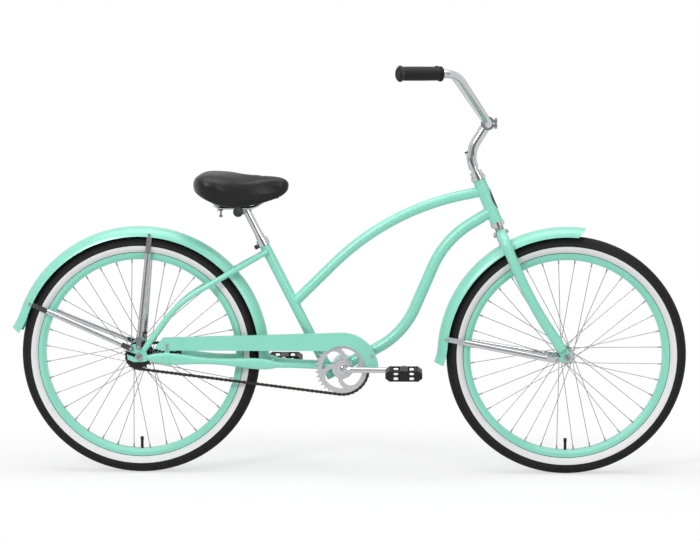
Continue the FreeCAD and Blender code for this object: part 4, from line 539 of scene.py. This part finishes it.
saddle = {
    "length": 0.268,
    "behind": 0.126,
    "base": 0.005,
    "depth": 0.108,
    "width": 0.225,
    "skirt": 0.011,
    "hemLeast": 0.2,           # least share of the half width that the hem keeps
    "hemRise": 0.001,
    "roof": 0.041,             # height of the hollow underside over the pivot
    "roofRise": 0.002,
    "roofGap": 0.028,
    "roofShares": (0.97, 0.5),
    "voxel": 0.004,
    "heldSlope": -0.55,        # faces that look down more than this stay on the pan
    "inset": 0.002,
    "swell": 0.005,            # how far the cover may rise over the foam
    "pressure": 4.0,
    "moments": 20,
    "ease": (0.5, 6),
    "fill": 0.95,
    # share of the length, then top and underside as shares of the depth, then share of the width
    "stations": (
        (0.000, 0.720, 0.560, 0.30),
        (0.020, 0.850, 0.480, 0.62),
        (0.080, 0.965, 0.365, 0.90),
        (0.170, 0.995, 0.225, 1.01),
        (0.300, 0.965, 0.095, 0.99),
        (0.430, 0.905, 0.040, 0.82),
        (0.560, 0.850, 0.055, 0.585),
        (0.690, 0.840, 0.125, 0.42),
        (0.800, 0.860, 0.205, 0.335),
        (0.900, 0.860, 0.300, 0.275),
        (0.970, 0.790, 0.430, 0.20),
        (1.000, 0.690, 0.570, 0.09),
    ),
    # across one half: share of the half width, share of the height
    "section": ((0.78, 0.03), (0.93, 0.22), (1.0, 0.46), (0.97, 0.70), (0.84, 0.89), (0.56, 0.985), (0.0, 1.0)),
}


def saddleRing(pivot, along, top, bottom, wide):
    x = pivot.x - saddle["behind"] + along * saddle["length"]
    floor = pivot.z + saddle["base"] + bottom * saddle["depth"]
    crest = pivot.z + saddle["base"] + top * saddle["depth"]
    half = wide * saddle["width"] / 2
    hem = max(saddle["section"][0][0] * half - saddle["skirt"], saddle["hemLeast"] * half)
    roof = max(floor + saddle["roofRise"], min(pivot.z + saddle["roof"], crest - saddle["roofGap"]))
    left = [(half * across, floor + rise * (crest - floor)) for across, rise in saddle["section"]]
    under = [(hem, floor + saddle["hemRise"])] + [(hem * share, roof) for share in saddle["roofShares"]]
    ring = left + [(-y, z) for y, z in left[-2::-1]] + [(-y, z) for y, z in under] + [(0.0, roof)] + under[::-1]
    return [(x, y, z) for y, z in ring]


def bake(piece, kind, settings):
    modifier = piece.modifiers.new(kind.lower(), kind)
    for name, value in settings.items():
        setattr(modifier, name, value)
    shaped = bpy.data.meshes.new_from_object(piece.evaluated_get(bpy.context.evaluated_depsgraph_get()))
    piece.modifiers.clear()
    piece.data = shaped


def inflate(piece):
    # the cover is blown up a little over its foam, while its underside stays on the pan
    mesh = piece.data
    start = np.array([vertex.co for vertex in mesh.vertices])
    normals = np.array([vertex.normal for vertex in mesh.vertices])
    under = normals[:, 2] < saddle["heldSlope"]
    held = piece.vertex_groups.new(name="held")
    held.add([int(index) for index in np.flatnonzero(under)], 1.0, "REPLACE")
    for vertex, normal, low in zip(mesh.vertices, normals, under):
        if not low:
            vertex.co -= Vector(normal) * saddle["inset"]
    cloth = piece.modifiers.new("cover", "CLOTH")
    cloth.settings.use_pressure = True
    cloth.settings.uniform_pressure_force = saddle["pressure"]
    cloth.settings.effector_weights.gravity = 0.0
    cloth.settings.vertex_group_mass = "held"
    for moment in range(1, saddle["moments"] + 1):
        scene.frame_set(moment)
    shaped = bpy.data.meshes.new_from_object(piece.evaluated_get(bpy.context.evaluated_depsgraph_get()))
    moved = np.array([vertex.co for vertex in shaped.vertices]) - start
    reach = np.linalg.norm(moved, axis=1, keepdims=True)
    final = start + moved * np.minimum(1.0, saddle["swell"] / np.maximum(reach, 1e-9))
    piece.modifiers.clear()
    shaped.vertices.foreach_set("co", final.ravel())
    piece.data = shaped
    piece.vertex_groups.clear()
    scene.frame_set(1)
    print("saddle cover moved by at most", round(float(reach.max()) * 1000, 1), "mm before its cap")


def buildSaddle():
    pivot = Vector(joints["saddle_tilt"]["pos_m"])
    rings = [saddleRing(pivot, *station) for station in saddle["stations"]]
    count = len(rings[0])
    points = [point for ring in rings for point in ring]
    faces = [tuple(range(count)), tuple(range(len(points) - 1, len(points) - count - 1, -1))]
    faces += [face[::-1] for face in ringFaces(len(rings), count, False)]
    piece = makePiece("saddle_cover", points, faces, (saddleVinyl,), 180.0)
    factor, turns = saddle["ease"]
    bake(piece, "SUBSURF", {"levels": 2, "render_levels": 2})
    bake(piece, "REMESH", {"mode": "VOXEL", "voxel_size": saddle["voxel"]})
    inflate(piece)
    bake(piece, "SMOOTH", {"factor": factor, "iterations": turns})
    piece.modifiers.new("fine", "SUBSURF").levels = 1
    piece.data.shade_smooth()
    settle(piece, "saddle", "saddle_cover", "saddle")
    print("saddle_cover", len(piece.data.vertices), "points")


buildSaddle()


grip = {
    "bore": 0.0111,
    "body": 0.0172,
    "crown": 0.0005,
    "crownShare": 0.4,         # share of the crown that is reached beside a rim
    "rim": 0.0200,
    "rimWide": 0.0060,
    "edge": 0.0012,
    "soften": 0.3,             # share of the edge at the middle of its rounding
    "foot": 0.0006,            # how soon the body starts beside a rim
    "ease": 0.0040,
    "endWall": 0.0040,
    "endStep": 0.0008,
    "endEdge": 0.0010,
    "endShares": (1.6, 0.8, 0.45),
    "dish": (0.0006, 0.0010),
    "round": 72,
    "seamTurn": 205.0,         # degrees about the grip from straight up
    "seamDip": 0.0007,
    "seamEnd": 0.0105,
    "stitchEnds": (0.010, 0.014),
    "stitchGap": 0.0052,
    "stitchLong": 0.0028,
    "stitchTurn": 0.085,
    "laces": 22,
    "laceEnds": (0.0125, 0.0050),
    "laceTurn": 0.16,
    "thread": 0.00055,
    "threadSteps": 5,
    "threadSides": 6,
    "threadArch": (1.1, 0.5),  # rise in the middle and dip at the ends, in threads
    "crease": 50.0,
    "weld": 0.00001,
}


def gripFrame(name):
    # start at the inner end, then the ways outwards, up and across, and the length
    spots = np.array([vertex.co for vertex in nodes[name].data.vertices])
    middle = (spots.max(0) + spots.min(0)) / 2
    along = Vector(np.linalg.eigh(np.cov((spots - spots.mean(0)).T))[1][:, 2])
    if along.x > 0:
        along.negate()
    reach = (spots - middle) @ np.array(along)
    start = Vector(middle) + along * float(reach.min())
    up = (Vector((0, 0, 1)) - along * along.z).normalized()
    return start, along, up, along.cross(up), float(reach.max() - reach.min())


def gripOutline(length):
    rim, body, wide, edge = grip["rim"], grip["body"], grip["rimWide"], grip["edge"]
    soft = edge * grip["soften"]
    outer = length - grip["endWall"]
    innerRim = [(0.0, rim - edge), (soft, rim - soft), (edge, rim),
                (wide - edge, rim), (wide - soft, rim - soft), (wide, rim - edge)]
    outerRim = [(outer - wide + distance, radius) for distance, radius in innerRim[:-1]]
    rise = [(wide + grip["foot"], body), (wide + grip["ease"], body + grip["crown"] * grip["crownShare"])]
    fall = [(outer - distance, radius) for distance, radius in rise[::-1]]
    step = grip["endStep"]
    rimShare, capShare, dishShare = grip["endShares"]
    shallow, deep = grip["dish"]
    cap = [(outer + step, rim - edge * rimShare), (length - step, body - grip["endEdge"]),
           (length, body * capShare), (length - shallow, body * dishShare), (length - deep, 0.0)]
    middle = (length / 2, body + grip["crown"])
    return [(0.0, grip["bore"])] + innerRim + rise + [middle] + fall + outerRim + cap


def weldEnds(piece):
    form = bmesh.new()
    form.from_mesh(piece.data)
    bmesh.ops.remove_doubles(form, verts=form.verts, dist=grip["weld"])
    bmesh.ops.recalc_face_normals(form, faces=form.faces)
    form.to_mesh(piece.data)
    form.free()


def addStitch(points, faces, axes, outline, first, last):
    # one arched thread whose ends dip under the surface
    start, along, up, across = axes
    steps, sides, thick = grip["threadSteps"], grip["threadSides"], grip["thread"]
    rise, dip = grip["threadArch"]
    base = len(points)
    centres = []
    for step in range(steps + 1):
        share = step / steps
        distance, angle = (begin + (end - begin) * share for begin, end in zip(first, last))
        surface = float(np.interp(distance, [point[0] for point in outline], [point[1] for point in outline]))
        outward = up * math.cos(angle) + across * math.sin(angle)
        lift = thick * (rise * math.sin(math.pi * share) - dip)
        centres.append((start + along * distance + outward * (surface + lift), outward))
    heading = (centres[-1][0] - centres[0][0]).normalized()
    for centre, outward in centres:
        beside = heading.cross(outward).normalized()
        for side in range(sides):
            angle = 2 * math.pi * side / sides
            points.append(centre + (outward * math.cos(angle) + beside * math.sin(angle)) * thick)
    faces += [tuple(base + corner for corner in face) for face in ringFaces(steps + 1, sides, False)]
    faces.append(tuple(base + side for side in range(sides - 1, -1, -1)))
    faces.append(tuple(base + steps * sides + side for side in range(sides)))


def buildGrip(name, sign):
    start, along, up, across, length = gripFrame(name)
    outline = gripOutline(length)
    seam = math.radians(grip["seamTurn"]) * sign
    points = []
    for distance, radius in outline:
        sewnHere = grip["rimWide"] < distance < length - grip["seamEnd"]
        for place in range(grip["round"]):
            angle = 2 * math.pi * place / grip["round"] + seam
            reach = radius - (grip["seamDip"] if sewnHere and place == 0 else 0.0)
            points.append(start + along * distance + (up * math.cos(angle) + across * math.sin(angle)) * reach)
    faces = ringFaces(len(outline), grip["round"], False)
    piece = makePiece(name + "_wrap", points, faces, (gripHide,), grip["crease"])
    weldEnds(piece)
    settle(piece, "handlebar", "black_rubber", name)

    # stitches along the seam, then crossed laces round the outer end
    sewn = []
    turn = grip["stitchTurn"]
    firstStitch, lastStitch = grip["stitchEnds"]
    for stitch in np.arange(firstStitch, length - lastStitch, grip["stitchGap"]):
        sewn.append(((stitch, seam - turn), (stitch + grip["stitchLong"], seam + turn)))
    inner, outer = (length - end for end in grip["laceEnds"])
    for lace in range(grip["laces"]):
        angle = 2 * math.pi * lace / grip["laces"]
        sewn.append(((inner, angle), (outer, angle + grip["laceTurn"])))
        sewn.append(((inner, angle + grip["laceTurn"]), (outer, angle)))
    points = []
    faces = []
    for first, last in sewn:
        addStitch(points, faces, (start, along, up, across), outline, first, last)
    settle(makePiece(name + "_stitches", points, faces, (thread,), 180.0), "handlebar", "black_rubber")
    print(piece.name, len(sewn), "stitches")


buildGrip("grip_right", 1)
buildGrip("grip_left", -1)


camera = {"place": (0.144, -5.840, 1.150), "pitch": 5.707, "turn": 1.369, "lens": 108.72}


def buildCamera():
    lens = bpy.data.cameras.new("camera")
    lens.lens = camera["lens"]
    viewer = bpy.data.objects.new("camera", lens)
    scene.collection.objects.link(viewer)
    viewer.location = camera["place"]
    viewer.rotation_euler = (math.radians(90 - camera["pitch"]), 0, math.radians(camera["turn"]))
    scene.camera = viewer


studio = {
    "sky": 0.26,               # strength of the sky as a light
    "floor": (grey(0.90), grey(0.93)),
    "floorDrift": 3.0,
    "floorReach": 30.0,
    "glow": 0.62,              # share of white in the floor near the wheels, which keeps the shadow soft
    "spread": (0.62, 1.5, 1.0),
    "fade": (0.5, 1.25),
    # place, aim, size and watts
    "lamps": {
        "roof_lamp": ((0.0, -0.6, 4.2), (0.0, 0.0, 0.5), (5.0, 3.0), 130.0),
        "key_lamp": ((-2.4, -4.2, 3.2), (0.0, 0.0, 0.6), (1.4, 1.4), 115.0),
        "fill_lamp": ((2.9, -4.6, 2.4), (0.1, 0.0, 0.6), (1.2, 1.6), 42.0),
    },
    # place, aim, size and tone of cards that only shiny surfaces see, so that chrome gets its streaks
    "cards": {
        "front_card": ((0.0, -8.0, 1.6), (0.0, 0.0, 0.8), (8.0, 3.4), 0.36),
        "low_card": ((0.0, -4.6, 0.25), (0.0, 0.0, 0.7), (9.0, 0.5), 0.06),
        "high_card": ((0.0, -3.4, 3.0), (0.0, 0.0, 0.7), (7.0, 0.35), 0.10),
        "left_card": ((-4.6, -2.6, 1.3), (0.0, 0.0, 0.8), (0.8, 3.0), 0.05),
        "right_card": ((4.6, -2.8, 1.3), (0.0, 0.0, 0.8), (0.6, 3.0), 0.05),
        "back_card": ((0.5, 4.5, 1.5), (0.0, 0.0, 0.8), (5.0, 0.6), 0.08),
    },
}


def seenWhite(tree):
    # one for rays that find a white background, nought for those that only light
    rays = tree.node("LightPath")
    seen = rays.out("Is Camera Ray") + rays.out("Is Glossy Ray") + rays.out("Is Transmission Ray")
    return seen.sum("MINIMUM", seen, 1.0)


def flatSheet(name, size, material):
    wide, high = size[0] / 2, size[1] / 2
    points = [(-wide, -high, 0), (wide, -high, 0), (wide, high, 0), (-wide, high, 0)]
    return makePiece(name, points, [(0, 1, 2, 3)], (material,), 180.0)


def buildFloor():
    # a pale floor that keeps the shadow near the wheels and fades into the white behind
    material, tree, place = newFinish("pale_floor")
    far = place.stretched(studio["spread"]).length()
    near, gone = studio["fade"]
    fade = far.node("MapRange", {"interpolation_type": "SMOOTHSTEP"},
                    {"Value": far, "From Min": near, "From Max": gone})
    share = studio["glow"] + (1.0 - studio["glow"]) * fade
    matte = tree.node("BsdfDiffuse", {}, {"Color": place.noise(studio["floorDrift"]).mixed(*studio["floor"])})
    glow = tree.node("Emission", {}, {"Color": grey(1.0), "Strength": 1.0})
    mixed = tree.node("MixShader", {}, {0: share * seenWhite(tree), 1: matte, 2: glow})
    tree.node("OutputMaterial", {}, {"Surface": mixed})
    flatSheet("floor", (2 * studio["floorReach"], 2 * studio["floorReach"]), material)


def buildSky():
    world = bpy.data.worlds.new("studio")
    world.use_nodes = True
    world.node_tree.nodes.clear()
    tree = Wire(world.node_tree)
    dim = tree.node("Background", {}, {"Color": grey(1.0), "Strength": studio["sky"]})
    white = tree.node("Background", {}, {"Color": grey(1.0), "Strength": 1.0})
    mixed = tree.node("MixShader", {}, {0: seenWhite(tree), 1: dim, 2: white})
    tree.node("OutputWorld", {}, {"Surface": mixed})
    scene.world = world


def aim(item, place, target, axis):
    item.location = place
    item.rotation_euler = (Vector(target) - Vector(place)).to_track_quat(axis, "Y").to_euler()


def addLamp(name, place, target, size, watts):
    lamp = bpy.data.lights.new(name, "AREA")
    lamp.shape = "RECTANGLE"
    lamp.size, lamp.size_y = size
    lamp.energy = watts
    holder = bpy.data.objects.new(name, lamp)
    scene.collection.objects.link(holder)
    aim(holder, place, target, "-Z")


def addCard(name, place, target, size, tone):
    material, tree, _ = newFinish(name)
    tone = tree.node("Emission", {}, {"Color": grey(tone), "Strength": 1.0})
    tree.node("OutputMaterial", {}, {"Surface": tone})
    card = flatSheet(name, size, material)
    aim(card, place, target, "Z")
    card.visible_camera = False
    card.visible_diffuse = False
    card.visible_shadow = False
    card.visible_transmission = False


buildCamera()
buildFloor()
buildSky()
for name, settings in studio["lamps"].items():
    addLamp(name, *settings)
for name, settings in studio["cards"].items():
    addCard(name, *settings)
print("studio set with", len(studio["lamps"]), "lamps and", len(studio["cards"]), "cards")
